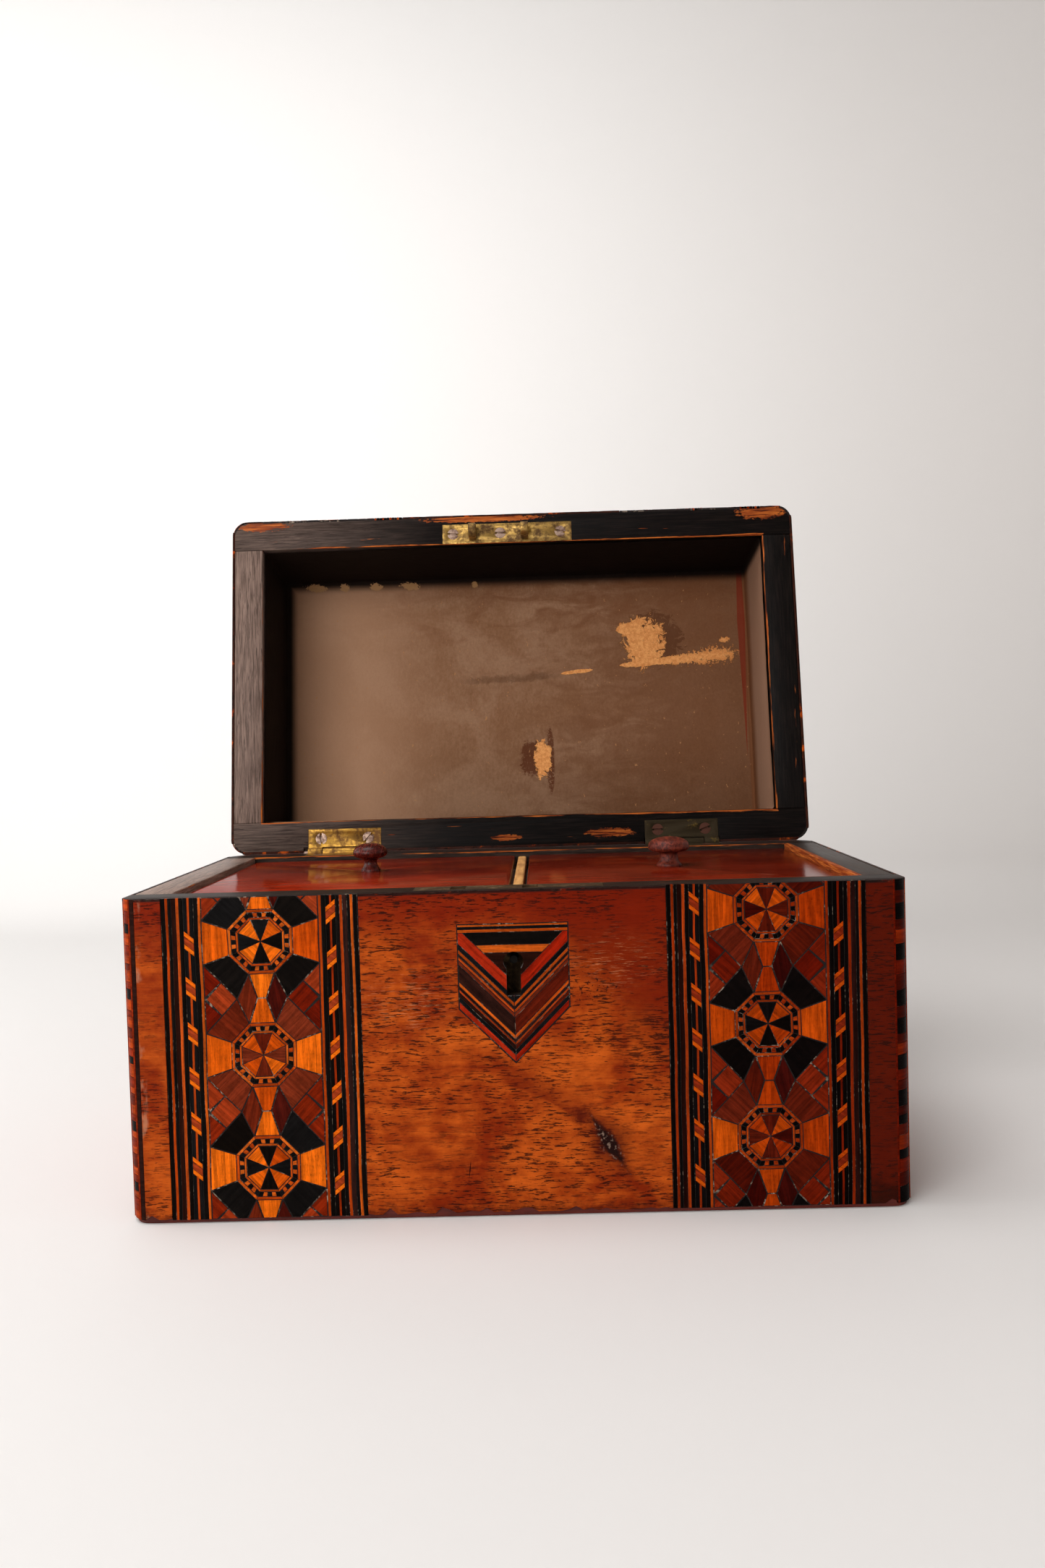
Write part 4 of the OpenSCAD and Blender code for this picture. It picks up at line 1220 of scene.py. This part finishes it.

# %% [markdown]
# ## Boards and rims
#
# Behind the veneer are plain boards. Their upper edges show as the rims, stained black to look like
# ebony. The stain has rubbed off along the arrises, where the orange wood shows in broken lines. The
# rub is computed from the distance to the nearest edge of the rim and a noise stretched along it. A
# painted sheen greys the rims on the left, where light glances off them, and along the right
# compartment a strip is worn quite bare.


# %% Ebonised finish
# Worn spots on the lid's rims: their x, y, half length and half width.
LID_SPOTS = ((103, -66.3, 10, 3.2), (-102, -66.5, 11, 2.2), (-5, 65, 6, 1.3), (36, 64, 10, 1.8),
             (-12, -67, 26, 1.4))


def ebonised(name, along, lid=False, gloss=0.12):
    """Black-stained wood whose grain runs along x or y, worn at its edges."""
    f = Finish(name, specular_ior_level=gloss)
    place = f.attribute("place")
    x, y, z = f.axes(place)
    run = (0.05, 0.9, 0.9) if along == "x" else (0.9, 0.05, 0.9)

    def drawn(scale, detail, rough, warp=0.0, least=0.0):
        return f.grain(place, [least + scale * r for r in run], detail, rough, warp)

    streaks = drawn(1.5, 5, 0.65, 0.3)
    pores = drawn(2.2, 3, 0.6)
    patches = f.noise(place, 0.045, 3, 0.6)
    below = abs(z - (LID_RIM if lid else RIM))
    outside = (RIGHT - abs(x)).low(BACK - abs(y)) + below * 0.8
    inside = abs((abs(x) - (RIGHT - WALL)).high(abs(y) - (BACK - WALL))) + below * 0.8
    nibble = drawn(1.4, 4, 0.7)
    long = drawn(0.55, 3, 0.6)
    favour = x.step(-60, 110) * 0.22 if lid else 0.0
    rub = (nibble * 1.2 + long * 1.5 - inside * 0.75 + favour).step(1.12, 1.36)
    rub = rub.high((nibble * 1.2 + long * 1.4 - outside * 0.55 + patches * 0.7).step(1.66, 1.90))
    dings = f.noise(f.stretch(place, *(1.8 * r for r in run)), 0.4, 4, 0.7).step(0.68, 0.72)
    rub = rub.high(dings * 0.8)
    flakes = drawn(0.4, 4, 0.7, least=0.45)
    if lid:
        for u, v, wide, tall in LID_SPOTS:
            spot = (blot(x, y, (u, v), (wide, tall)) + flakes * 3.4).step(2.75, 2.35)
            rub = rub.high(spot * nibble.step(0.36, 0.46) * 0.85)
        painted_sheen_share = x.step(-20, -112) * (0.66 if along == "y" else 0.34)
    elif along == "y":
        painted_sheen_share = x.step(60, -60) * 0.85 + 0.15
        rub = rub.high((inside + nibble * 1.2).step(2.7, 2.3) * x.step(-20, 20))
    else:
        painted_sheen_share = 0.10
    black = f.mix((0.0025, 0.0017, 0.0014), (0.011, 0.0065, 0.005), streaks.step(0.40, 0.75))
    # Painted sheen: a grey-brown mixed into the black stands for light glancing off the rims, most on the left.
    painted_sheen = f.mix((0.090, 0.056, 0.043), (0.40, 0.27, 0.215), (streaks * 0.7 + pores * 0.4).step(0.34, 0.76))
    bare = f.mix((0.20, 0.030, 0.006), (0.58, 0.15, 0.025), nibble.step(0.40, 0.68))
    f.colour = f.mix(black, painted_sheen, painted_sheen_share)
    f.coat(bare, rub)
    f.coat((0.004, 0.002, 0.002), pores.step(0.60, 0.68) * 0.7)
    rough = 0.34 + 0.30 * streaks + 0.15 * rub - 0.10 * patches
    return f.paint(rough, streaks * 0.7 - pores * 0.5 - rub * 0.8, 0.10)


RIM_X = ebonised("ebonised_along_x", "x", False, 0.02)
RIM_Y = ebonised("ebonised_along_y", "y")
LID_RIM_X = ebonised("ebonised_lid_along_x", "x", True, 0.07)
LID_RIM_Y = ebonised("ebonised_lid_along_y", "y", True, 0.09)

# %% Boards
for node, finish, width in (
        ("front_board", RIM_X, 0.25), ("back_board", RIM_X, 0.25), ("left_side_board", RIM_Y, 0.45),
        ("right_side_board", RIM_Y, 0.45), ("lid_front_board", LID_RIM_X, 0.3),
        ("lid_back_board", LID_RIM_X, 0.25), ("lid_left_board", LID_RIM_Y, 0.5),
        ("lid_right_board", LID_RIM_Y, 0.5), ("lid_top_board", LID_RIM_X, 0.3)):
    eased(node, finish, width)

# %% [markdown]
# ## Bare and stained wood
#
# The base is softwood under a red stain, the divider is raw pale wood with a rough sawn top, and the
# compartments are boxes of thin cedar whose faces are covered with tin foil. The base and the divider
# share one recipe, wood with a grain direction, and differ in colour, gloss and how deep the grain is.
# The foil is a crinkled metal that dulls in patches.


# %% Plain woods
def plain_wood(name, light, dark, run, roughness, depth):
    """Unpolished wood with its grain drawn out by run, from x to z, and some dirt."""
    f = Finish(name, specular_ior_level=0.3)
    place = f.attribute("place")
    grain = f.grain(place, run, 5, 0.6, 0.5)
    hair = f.grain(place, [4 * r for r in run], 2, 0.6)
    dirt = f.noise(place, 0.12, 4, 0.65)
    f.colour = f.mix(dark, light, (0.7 * grain + 0.4 * dirt).step(0.35, 0.72))
    f.coat(dark, hair.step(0.58, 0.70) * 0.4)
    f.coat((0.05, 0.025, 0.015), dirt.step(0.62, 0.80) * 0.6)
    return f.paint(roughness + 0.2 * hair, grain + hair * 0.6, depth)


def foil_finish():
    """Tin foil glued on wood: grey, crinkled, dulled."""
    f = Finish("old_tin_foil")
    place = f.attribute("place")
    crinkle = f.noise(place, 0.35, 5, 0.7, 0.4)
    dull = f.noise(place, 0.06, 3, 0.6)
    spent = dull.step(0.45, 0.75)
    f.colour = f.mix((0.42, 0.40, 0.37), (0.17, 0.12, 0.09), spent)
    return f.paint(0.35 + 0.35 * dull, crinkle, 0.35, metallic=0.9 - 0.8 * spent)


eased("base_board", plain_wood("red_stained_base", (0.12, 0.014, 0.007), (0.05, 0.006, 0.004),
                                            (0.04, 0.5, 0.5), 0.55, 0.08), 0.4)
eased("divider", plain_wood("raw_pale_wood", (0.78, 0.40, 0.13), (0.42, 0.17, 0.045),
                                         (0.6, 0.05, 0.6), 0.7, 0.3), 0.6, 3)
FOIL = foil_finish()
for node in ("left_compartment_liner", "right_compartment_liner"):
    eased(node, FOIL, 0.2)

# %% [markdown]
# ## Inner lids
#
# The two inner lids are thin mahogany boards, the best polished pieces of the caddy: their tops mirror
# the lid above. The wood is red-brown with a fine straight grain, with painted shade that makes it
# lighter at the left and the front and darker to the right and the back. Its only faults are faint
# scratches, specks of dust and worn corners.


# %% Mahogany finish
def mahogany():
    """Polished mahogany with fine grain, scratches and dust."""
    f = Finish("polished_mahogany", specular_ior_level=0.02)
    place = f.attribute("place")
    x, y, z = f.axes(place)
    grain = f.grain(place, (0.035, 0.55, 0.55), 5, 0.6, 0.4)
    hairs = f.grain(place, (0.22, 4.0, 4.0), 2, 0.6)
    cloud = f.noise(place, 0.03, 3, 0.6)
    f.colour = f.mix((0.080, 0.005, 0.002), (0.24, 0.018, 0.004),
                     (0.6 * grain + 0.5 * cloud).step(0.35, 0.75))
    # Painted shade: lighter at the left and the front, darker to the right and the back, as the light falls.
    f.shade((0.78 + 0.5 * hairs) * (1.62 - 0.70 * x.step(-60, 40)) * (1.10 - 0.45 * y.step(-50, 30)))
    scratches = abs(f.grain(place, (0.06, 0.45, 0.06), 1, 0.4, 1.8) - 0.5).step(0.0030, 0.0)
    line = scratches * f.noise(place, 0.09, 2).step(0.52, 0.62)
    f.coat((0.42, 0.16, 0.09), line * 0.5)
    f.coat((0.5, 0.35, 0.25), f.noise(place, 2.4, 2, 0.5).step(0.735, 0.76) * 0.5)
    return f.paint(0.07 + 0.12 * cloud + 0.3 * line, cloud * 0.6 - line * 0.5, 0.03)


MAHOGANY = mahogany()
for side in ("left", "right"):
    eased(f"{side}_inner_lid", MAHOGANY, 0.7, 3)

# %% [markdown]
# ## Turned knobs
#
# The knobs were turned on a lathe, and they aren't a pair: the left is a flat mushroom on a bell-shaped
# collar, the right a thicker button on a plain stem. A lathe is also the way to make them here: a few
# points give the outline, a smooth curve runs through them, and it is spun about the knob's axis.


# %% Lathe
def flowing(points, per_span=4):
    """A smooth curve through the points (Catmull and Rom's)."""
    line = [points[0]] + list(points) + [points[-1]]
    curve = []
    for p0, p1, p2, p3 in zip(line, line[1:], line[2:], line[3:]):
        for k in range(per_span):
            t = k / per_span
            curve.append(tuple(0.5 * (2 * b + (c - a) * t + (2 * a - 5 * b + 4 * c - d) * t ** 2
                                      + (3 * b - a - 3 * c + d) * t ** 3)
                               for a, b, c, d in zip(p0, p1, p2, p3)))
    return curve + [points[-1]]


def lathe(profile, centre, steps=48):
    """A closed solid of revolution about an upright axis. The profile goes from axis to axis."""
    bm = bmesh.new()
    ends = [bm.verts.new((centre.x, centre.y, centre.z + z)) for r, z in (profile[0], profile[-1])]
    rings = [[bm.verts.new((centre.x + r * math.cos(math.tau * k / steps),
                            centre.y + r * math.sin(math.tau * k / steps), centre.z + z))
              for k in range(steps)] for r, z in profile[1:-1]]
    for k in range(steps):
        bm.faces.new((ends[0], rings[0][k], rings[0][k - 1]))
        bm.faces.new((ends[1], rings[-1][k - 1], rings[-1][k]))
        for lower, upper in zip(rings, rings[1:]):
            bm.faces.new((lower[k - 1], lower[k], upper[k], upper[k - 1]))
    bmesh.ops.recalc_face_normals(bm, faces=bm.faces)
    return bm


def knob_finish(name, light, dark, gloss):
    """Turned and polished wood with dark pores."""
    f = Finish(name, specular_ior_level=0.22)
    place = f.attribute("place")
    grain = f.grain(place, (1.1, 0.35, 0.8), 4, 0.65, 0.6)
    hairs = f.grain(place, (3.0, 1.0, 1.6), 2, 0.6)
    f.colour = f.mix(dark, light, grain.step(0.34, 0.70))
    f.coat(dark, hairs.step(0.55, 0.68) * 0.7)
    return f.paint(gloss + 0.25 * grain, grain - hairs * 0.6, 0.10)


LEFT_PROFILE = [(0, -5.5), (2, -5.5), (2, 0), (3.4, 0), (3.3, 0.7), (2.6, 1.8), (2.2, 3.0), (2.5, 4.1),
                (3.9, 4.7), (5.4, 5.3), (6, 6.3), (5.85, 7.4), (4.9, 8.6), (3.2, 9.5), (1.4, 9.9), (0, 10)]
RIGHT_PROFILE = [(0, -5.5), (2, -5.5), (2, 0), (4.3, 0), (4.2, 0.6), (3.4, 1.6), (3.1, 2.8), (3.1, 4.2),
                 (3.9, 4.8), (5.9, 5.1), (6.9, 5.8), (7, 6.9), (6.7, 7.9), (5.6, 8.9), (3.6, 9.6),
                 (1.6, 9.95), (0, 10)]


def knob(side, profile, finish):
    """A knob on its inner lid, its profile smoothed above the tenon."""
    low, high = box(f"{side}_knob")
    foot = Vector(((low.x + high.x) / 2, (low.y + high.y) / 2, box(f"{side}_inner_lid")[1].z))
    smooth = profile[:4] + flowing(profile[3:])[1:]
    make_piece(f"{side}_turned_knob", lathe(smooth, foot), f"{side}_inner_lid", finish,
               [f"{side}_knob"], 50)


knob("left", LEFT_PROFILE, knob_finish("dark_turned_wood", (0.15, 0.016, 0.009), (0.025, 0.004, 0.003), 0.14))
knob("right", RIGHT_PROFILE, knob_finish("red_turned_wood", (0.22, 0.036, 0.017), (0.05, 0.007, 0.004), 0.34))

# %% [markdown]
# ## Brass and steel
#
# Old brass is bright where it is rubbed and brown or green where it isn't. One recipe mixes a clean
# metal with a tarnish by noise, and each fitting gets its own share of it: the link plate and the left
# hinge are bright, the lock's plate is a dull tan, and the right hinge is nearly green.


# %% Metal finishes
def brass(name, clean, tarnish, share, roughness, right=0.0):
    """Clean metal under tarnish. right adds tarnish towards the right of the caddy."""
    f = Finish(name, specular_ior_level=0.25)
    place = f.attribute("place")
    x, y, z = f.axes(place)
    cloud = f.noise(place, 0.16, 4, 0.65, 0.5)
    spots = f.noise(place, 0.9, 3, 0.6)
    lines = f.grain(place, (0.25, 6, 6), 2)
    dull = (cloud * 1.2 + spots * 0.5 + x.step(28, 44) * right).step(1.30 - share, 1.65 - share)
    f.colour = f.mix(clean, tarnish, dull)
    return f.paint(roughness + 0.30 * dull + 0.10 * lines, lines + spots * 1.4, 0.05, 1.0 - 0.55 * dull)


BRIGHT_BRASS = brass("bright_brass", (0.38, 0.205, 0.038), (0.13, 0.055, 0.014), 0.65, 0.26)
LINK_BRASS = brass("link_brass", (0.44, 0.27, 0.075), (0.10, 0.050, 0.016), 0.62, 0.28)
GREEN_BRASS = brass("green_brass", (0.24, 0.150, 0.030), (0.030, 0.019, 0.007), 0.88, 0.40)
DULL_BRASS = brass("dull_brass", (0.20, 0.125, 0.060), (0.060, 0.032, 0.014), 0.75, 0.50)
STEEL = brass("old_steel", (0.36, 0.25, 0.19), (0.085, 0.030, 0.018), 0.62, 0.34, 0.5)
DARK_STEEL = brass("lock_steel", (0.040, 0.030, 0.026), (0.008, 0.006, 0.005), 0.90, 0.50)

for node, finish, width in (
        ("left_hinge_body_leaf", BRIGHT_BRASS, 0.12), ("left_hinge_lid_leaf", BRIGHT_BRASS, 0.12),
        ("right_hinge_body_leaf", GREEN_BRASS, 0.12), ("right_hinge_lid_leaf", GREEN_BRASS, 0.12),
        ("link_plate", LINK_BRASS, 0.15), ("lock_links", LINK_BRASS, 0.35)):
    eased(node, finish, width)
for node in ("lock_case", "lock_cover", "lock_bolt"):
    eased(node, DULL_BRASS, 0.10)
for node in ("left_hinge_pin", "right_hinge_pin", "lock_screws"):
    eased(node, STEEL, 0.08)
for node in ("lock_drill_pin", "lock_back_spring"):
    eased(node, DARK_STEEL, 0.08)

# %% [markdown]
# ## Screws
#
# The hinges and the link plate are held by slotted countersunk screws. One screw is turned on the lathe
# and its slot is cut out, and a Geometry Nodes tree sets a copy at each hole with the slot turned at
# random, because nobody lines up screw slots inside a tea caddy.

# %% Screw tree
HEAD_R, SHANK_R, SCREW_L = 2.3, 1.0, 7.0
SLOT_WIDTH, SLOT_DEPTH = 0.80, 0.80


def screw_tree():
    """Sets a copy of one object at each point, turned at random about its own axis."""
    b, given = new_tree("screws_at_holes", "Screws", Holes="Geometry", Copy="Object", Seed="Int",
                        Finish="Material")
    holes = b.add("GeometryNodeMeshToPoints", sockets={"Mesh": given.out("Holes")})
    spin = b.add("FunctionNodeRandomValue", {"data_type": "FLOAT"}, {
        "Max": math.tau, "Seed": given.out("Seed")})
    rotation = b.add("ShaderNodeCombineXYZ", sockets={"Z": spin})
    return copies_at(holes, b, given, "Screws", Rotation=rotation)


def screw_copy(facing):
    """A slotted countersunk screw, head up (facing 1) or down (facing -1)."""
    profile = [(0, -SCREW_L), (SHANK_R * 0.6, -SCREW_L), (SHANK_R, -SCREW_L + 0.6), (SHANK_R, -1.1),
               (HEAD_R, -0.14), (HEAD_R - 0.05, -0.04), (HEAD_R * 0.6, -0.01), (0, 0)]
    turned_screw = lathe(profile, Vector((0, 0, 0)), 28)
    slot = bmesh.new()
    bmesh.ops.create_cube(slot, size=1.0)
    bmesh.ops.scale(slot, vec=(6, SLOT_WIDTH, 2 * SLOT_DEPTH), verts=slot.verts)
    bm = cut(turned_screw, bpy.data.objects.new("slot", mesh_of(slot, "slot")))
    if facing < 0:
        bmesh.ops.rotate(bm, verts=bm.verts, matrix=Matrix.Rotation(math.pi, 3, "X"))
    return bpy.data.objects.new("screw", mesh_of(bm, "screw"))


SCREWS = screw_tree()
print("one tree for screws")


# %% Screws at their holes
def set_screws(name, node, body, spots, facing, seed):
    """Screws at their spots, in place of a node of plain ones."""
    copy = screw_copy(facing)
    made = grown(SCREWS, name, points=spots, Copy=copy, Seed=seed, Finish=STEEL)
    bpy.data.objects.remove(copy)
    finish_mesh(name, made, body, STEEL, [node])


HINGE_HOLE = 9.4
LINK_HOLES = (-24.0, -4.6, 20.0)
for node, body, facing, leaf, seed in (("body_hinge_screws", BODY, 1, "body", 3),
                                       ("lid_hinge_screws", LID, -1, "lid", 8)):
    low, high = box(node)
    level = high.z if facing > 0 else low.z
    spots = []
    for side in ("left", "right"):
        leaf_low, leaf_high = box(f"{side}_hinge_{leaf}_leaf")
        middle = (leaf_low.x + leaf_high.x) / 2
        spots += [(middle + k * HINGE_HOLE, (low.y + high.y) / 2, level) for k in (-1, 1)]
    set_screws(f"set_{node}", node, body, spots, facing, seed)
low, high = box("link_plate_screws")
set_screws("set_link_plate_screws", "link_plate_screws", LID,
           [(x, (low.y + high.y) / 2, low.z) for x in LINK_HOLES], -1, 5)

# %% [markdown]
# ## The paper lining
#
# The lid is lined with grey-brown sugar paper, pasted over the top board and down the walls, bulging a
# little in the corners. The sheet is a box without a floor whose edges are rounded and which is then cut
# into small squares, so that it can swell. A few of its marks are torn places that show the pale board,
# others are a stain, a crease and a fold. Painted shade blackens the left and front walls, rings the big
# tear and darkens the paper towards the front and the back, and painted light makes it paler to the
# left. All of it is drawn in the material, from rough ellipses and strips that a fine noise makes
# ragged.

# %% Lining sheet
lining_low, lining_high = box("lid_paper_lining")
PASTE = 0.35
FOOT_GAP = 0.3
CREASE_R = 1.0
WALL_SQUARE, HEIGHT_SQUARE = 3.1, 2.9
PAPER = 0.12
CORNERS = ((-1, -1), (1, -1), (1, 1), (-1, 1))


def lining_sheet():
    """The sheet as a thin shell: a ceiling and four walls, swelling inwards, with an uneven foot."""
    bm = bmesh.new()
    x, y = lining_high.x - PASTE, lining_high.y - PASTE
    low, high = lining_low.z + FOOT_GAP, lining_high.z - PASTE
    floor, ceiling = ([bm.verts.new((a * x, b * y, z)) for a, b in CORNERS] for z in (low, high))
    bm.faces.new(ceiling)
    for i in range(4):
        bm.faces.new((floor[i - 1], floor[i], ceiling[i], ceiling[i - 1]))
    bmesh.ops.recalc_face_normals(bm, faces=bm.faces)
    creases = [e for e in bm.edges if len(e.link_faces) == 2]
    bmesh.ops.bevel(bm, geom=creases, offset=CREASE_R, segments=3, profile=0.5, affect="EDGES")
    for axis, reach, pitch in ((0, x, WALL_SQUARE), (1, y, WALL_SQUARE),
                               (2, (high - low) / 2, HEIGHT_SQUARE)):
        middle = (low + high) / 2 if axis == 2 else 0
        normal = Vector((0, 0, 0))
        normal[axis] = 1
        for k in range(int(2 * reach / pitch)):
            spot = Vector((0, 0, 0))
            spot[axis] = middle - reach + (k + 0.5) * pitch
            bmesh.ops.bisect_plane(bm, geom=bm.verts[:] + bm.edges[:] + bm.faces[:], plane_co=spot,
                                   plane_no=normal)
    bm.normal_update()
    rim_line = {v for v in bm.verts if v.co.z < low + 0.01}
    for v in bm.verts:
        swell = noise.noise(v.co * 0.045) * 0.30 + noise.noise(v.co * 0.2) * 0.12
        inward = Vector((-v.co.x / x, -v.co.y / y, -1 if v.co.z > high - 2 else 0)).normalized()
        v.co += inward * (0.12 + swell * (0.5 if v.co.z < high - 2 else 1))
        if v in rim_line:
            v.co.z += 0.5 + 0.9 * abs(noise.noise(v.co * 0.35))
    bmesh.ops.solidify(bm, geom=bm.faces[:], thickness=PAPER)
    bmesh.ops.recalc_face_normals(bm, faces=bm.faces)
    return bm


# %% Lining finish
# Chipped places along the front edge of the ceiling: their x and half length.
CHIPS = ((-89.0, 5.5), (-76.0, 2.6), (-62.0, 3.4), (-46.5, 5.0), (-18.0, 1.6))


def paper_ground(f, place, x, y, cloud, fibres, fine):
    """Grey-brown paper, clouded and browner to the right, with painted shade towards the front and the back and
    painted light that makes it paler to the left.
    """
    wide = f.grain(place, (0.05, 0.12, 0.05), 4, 0.6, 1.2)
    f.colour = f.mix((0.225, 0.108, 0.053), (0.310, 0.172, 0.100),
                     (0.8 * cloud + 0.3 * fibres).step(0.38, 0.72))
    f.coat((0.165, 0.068, 0.030), (x * 0.006 + wide).step(0.40, 0.95) * 0.80)
    # Painted shade: darker and browner towards the front, and a quarter darker towards the back.
    f.coat((0.160, 0.060, 0.024), (wide - y * 0.012).step(0.80, 1.25) * 0.60)
    f.shade((0.77 + 0.36 * fine + 0.16 * fibres) * (1.0 - 0.26 * y.step(0, 56)))
    f.coat((0.150, 0.052, 0.019), x.step(100.2, 101.0) * 0.75)
    # Painted light: paler to the left.
    f.coat((0.480, 0.275, 0.165), x.step(-20, -90) * 0.75)


def paper_dirt(f, x, y, ragged, specks):
    """A crease and, round the small hole, a stain that has run down. Gives back the crease."""
    stain = (blot(x, y, (7.5, 26), (7.5, 8.5), 4) + ragged * 1.8 + specks * 2.6).step(3.0, 2.5)
    drips = (abs(x - 12.3 - specks * 3.0) * 0.50 + ((y - 27) / 16.0) ** 4 + specks * 1.8).step(1.9, 1.5)
    crease = (abs(y + 9.9 + 0.03 * x + (ragged - 0.5) * 6) * 0.5).step(1.0, 0.0) * abs(x + 3).step(25, 14)
    f.coat((0.095, 0.040, 0.018), crease * 0.40)
    f.coat((0.085, 0.020, 0.006), stain.high(drips * specks.step(0.38, 0.46)) * 0.80)
    return crease


def paper_tears(f, x, y, ragged, specks):
    """The torn places: a bite with its lip, a long strip, a fleck, a scrap and a small hole."""
    beyond = (x - 62).high(0)
    ridge = abs(y + 10.6 + 0.08 * x) / (1.5 + beyond * 0.055)
    strip = ridge + ((x - 71) / 26.0) ** 8 + (ragged - 0.5) * 0.9 + (specks - 0.5) * (1.2 + beyond * 0.17)
    scrap = abs(y + 9.4 + 0.10 * x) * 0.9 + ((x - 26.6) / 7.6) ** 4 + ragged * 1.9
    fleck = blot(x, y, (92, -24.5), (2.8, 1.3)) + (specks - 0.5) * 4.5
    bite = blot(x, y, (56.5, -24.5), (8.6, 10.5)) + ragged * 4.6
    lip = blot(x, y, (51.0, -30.5), (6.0, 3.6)) + ragged * 3.0
    hole = blot(x, y, (10.2, 26.5), (3.6, 8.0)) + ragged * 3.8
    torn = bite.step(3.42, 3.28)
    for shape, start, end in ((lip, 2.6, 2.45), (strip, 1.10, 0.95), (fleck, 0.80, 0.65),
                              (scrap, 1.80, 1.68), (hole, 3.0, 2.86)):
        torn = torn.high(shape.step(start, end))
    return torn


def paper_finish():
    """Old pasted paper with its dirt, its tears, the marks along its edges and its painted shade."""
    f = Finish("old_lining_paper", roughness=0.82, specular_ior_level=0.08)
    place = f.attribute("place")
    x, y, z = f.axes(place)
    cloud = f.noise(place, 0.035, 4, 0.62, 0.4)
    fibres = f.grain(place, (0.9, 0.45, 0.45), 4, 0.6, 0.6)
    fine = f.noise(place, 1.1, 3, 0.6)
    ragged = f.noise(place, 0.30, 5, 0.75, 0.9)
    specks = f.noise(place, 0.9, 4, 0.7)
    paper_ground(f, place, x, y, cloud, fibres, fine)
    crease = paper_dirt(f, x, y, ragged, specks)
    chips = 0.0
    for u, reach in CHIPS:
        chip = blot(x, y - 0.1 * (x - u), (u, -53.4), (reach, 2.0)) + ragged * 1.5 + specks * 3.2
        chips = chip.step(3.15, 2.9).high(chips)
    chips = chips * z.step(139.5, 141.5)
    flecks = f.grain(place, (0.75, 0.45, 0.6), 3, 0.6).step(0.690, 0.720)
    # Painted shadow: a dark ring on the paper, mostly at the right of the big tear.
    halo = (blot(x, y, (60.0, -26.0), (11.5, 10.5)) + ragged * 4.2).step(3.55, 3.25)
    torn = paper_tears(f, x, y, ragged, specks)
    f.coat((0.10, 0.035, 0.014), halo * 0.7)
    f.coat(f.mix((0.66, 0.245, 0.070), (0.86, 0.40, 0.135), specks.step(0.35, 0.65)), torn)
    f.coat((0.36, 0.19, 0.075), chips * 0.8)
    f.coat((0.46, 0.22, 0.09), flecks * 0.7)
    red = ((x - 100.8).high(0 - x + 98.6) * 2 + abs(y + 33) * 0.055).step(1.35, 0.95)
    f.coat((0.20, 0.018, 0.006), red * 0.75)
    fold = abs(x - 101.6).step(1.2, 0.2) * abs(z - 116).step(24, 12)
    f.coat((0.40, 0.25, 0.17), fold * 0.5)
    # Painted shade: the paper on the left and front walls is made nearly black, where they stand in shadow; the
    # chipped places are spared.
    painted_wall_shadow = (x + 99.2).step(2.8, -1.2).high((y + 53.6).step(3.4, -1.4) * (1 - chips))
    f.coat((0.002, 0.001, 0.0008), painted_wall_shadow * 0.98)
    height = cloud * 5 + crease * 2 + fibres * 0.35 + fine * 0.20 - torn * 1.5
    return f.paint(height=height, depth=0.12)


make_piece("lid_paper", lining_sheet(), LID, paper_finish(), ["lid_paper_lining"], 60)

# %% [markdown]
# ## Nodes still showing as they came
#
# Every node of the model that is still shown, because no piece has replaced it, is printed.

# %% Finish
for node, cad in frame["nodes"].items():
    if not cad.hide_render:
        print("still showing as it came:", node)
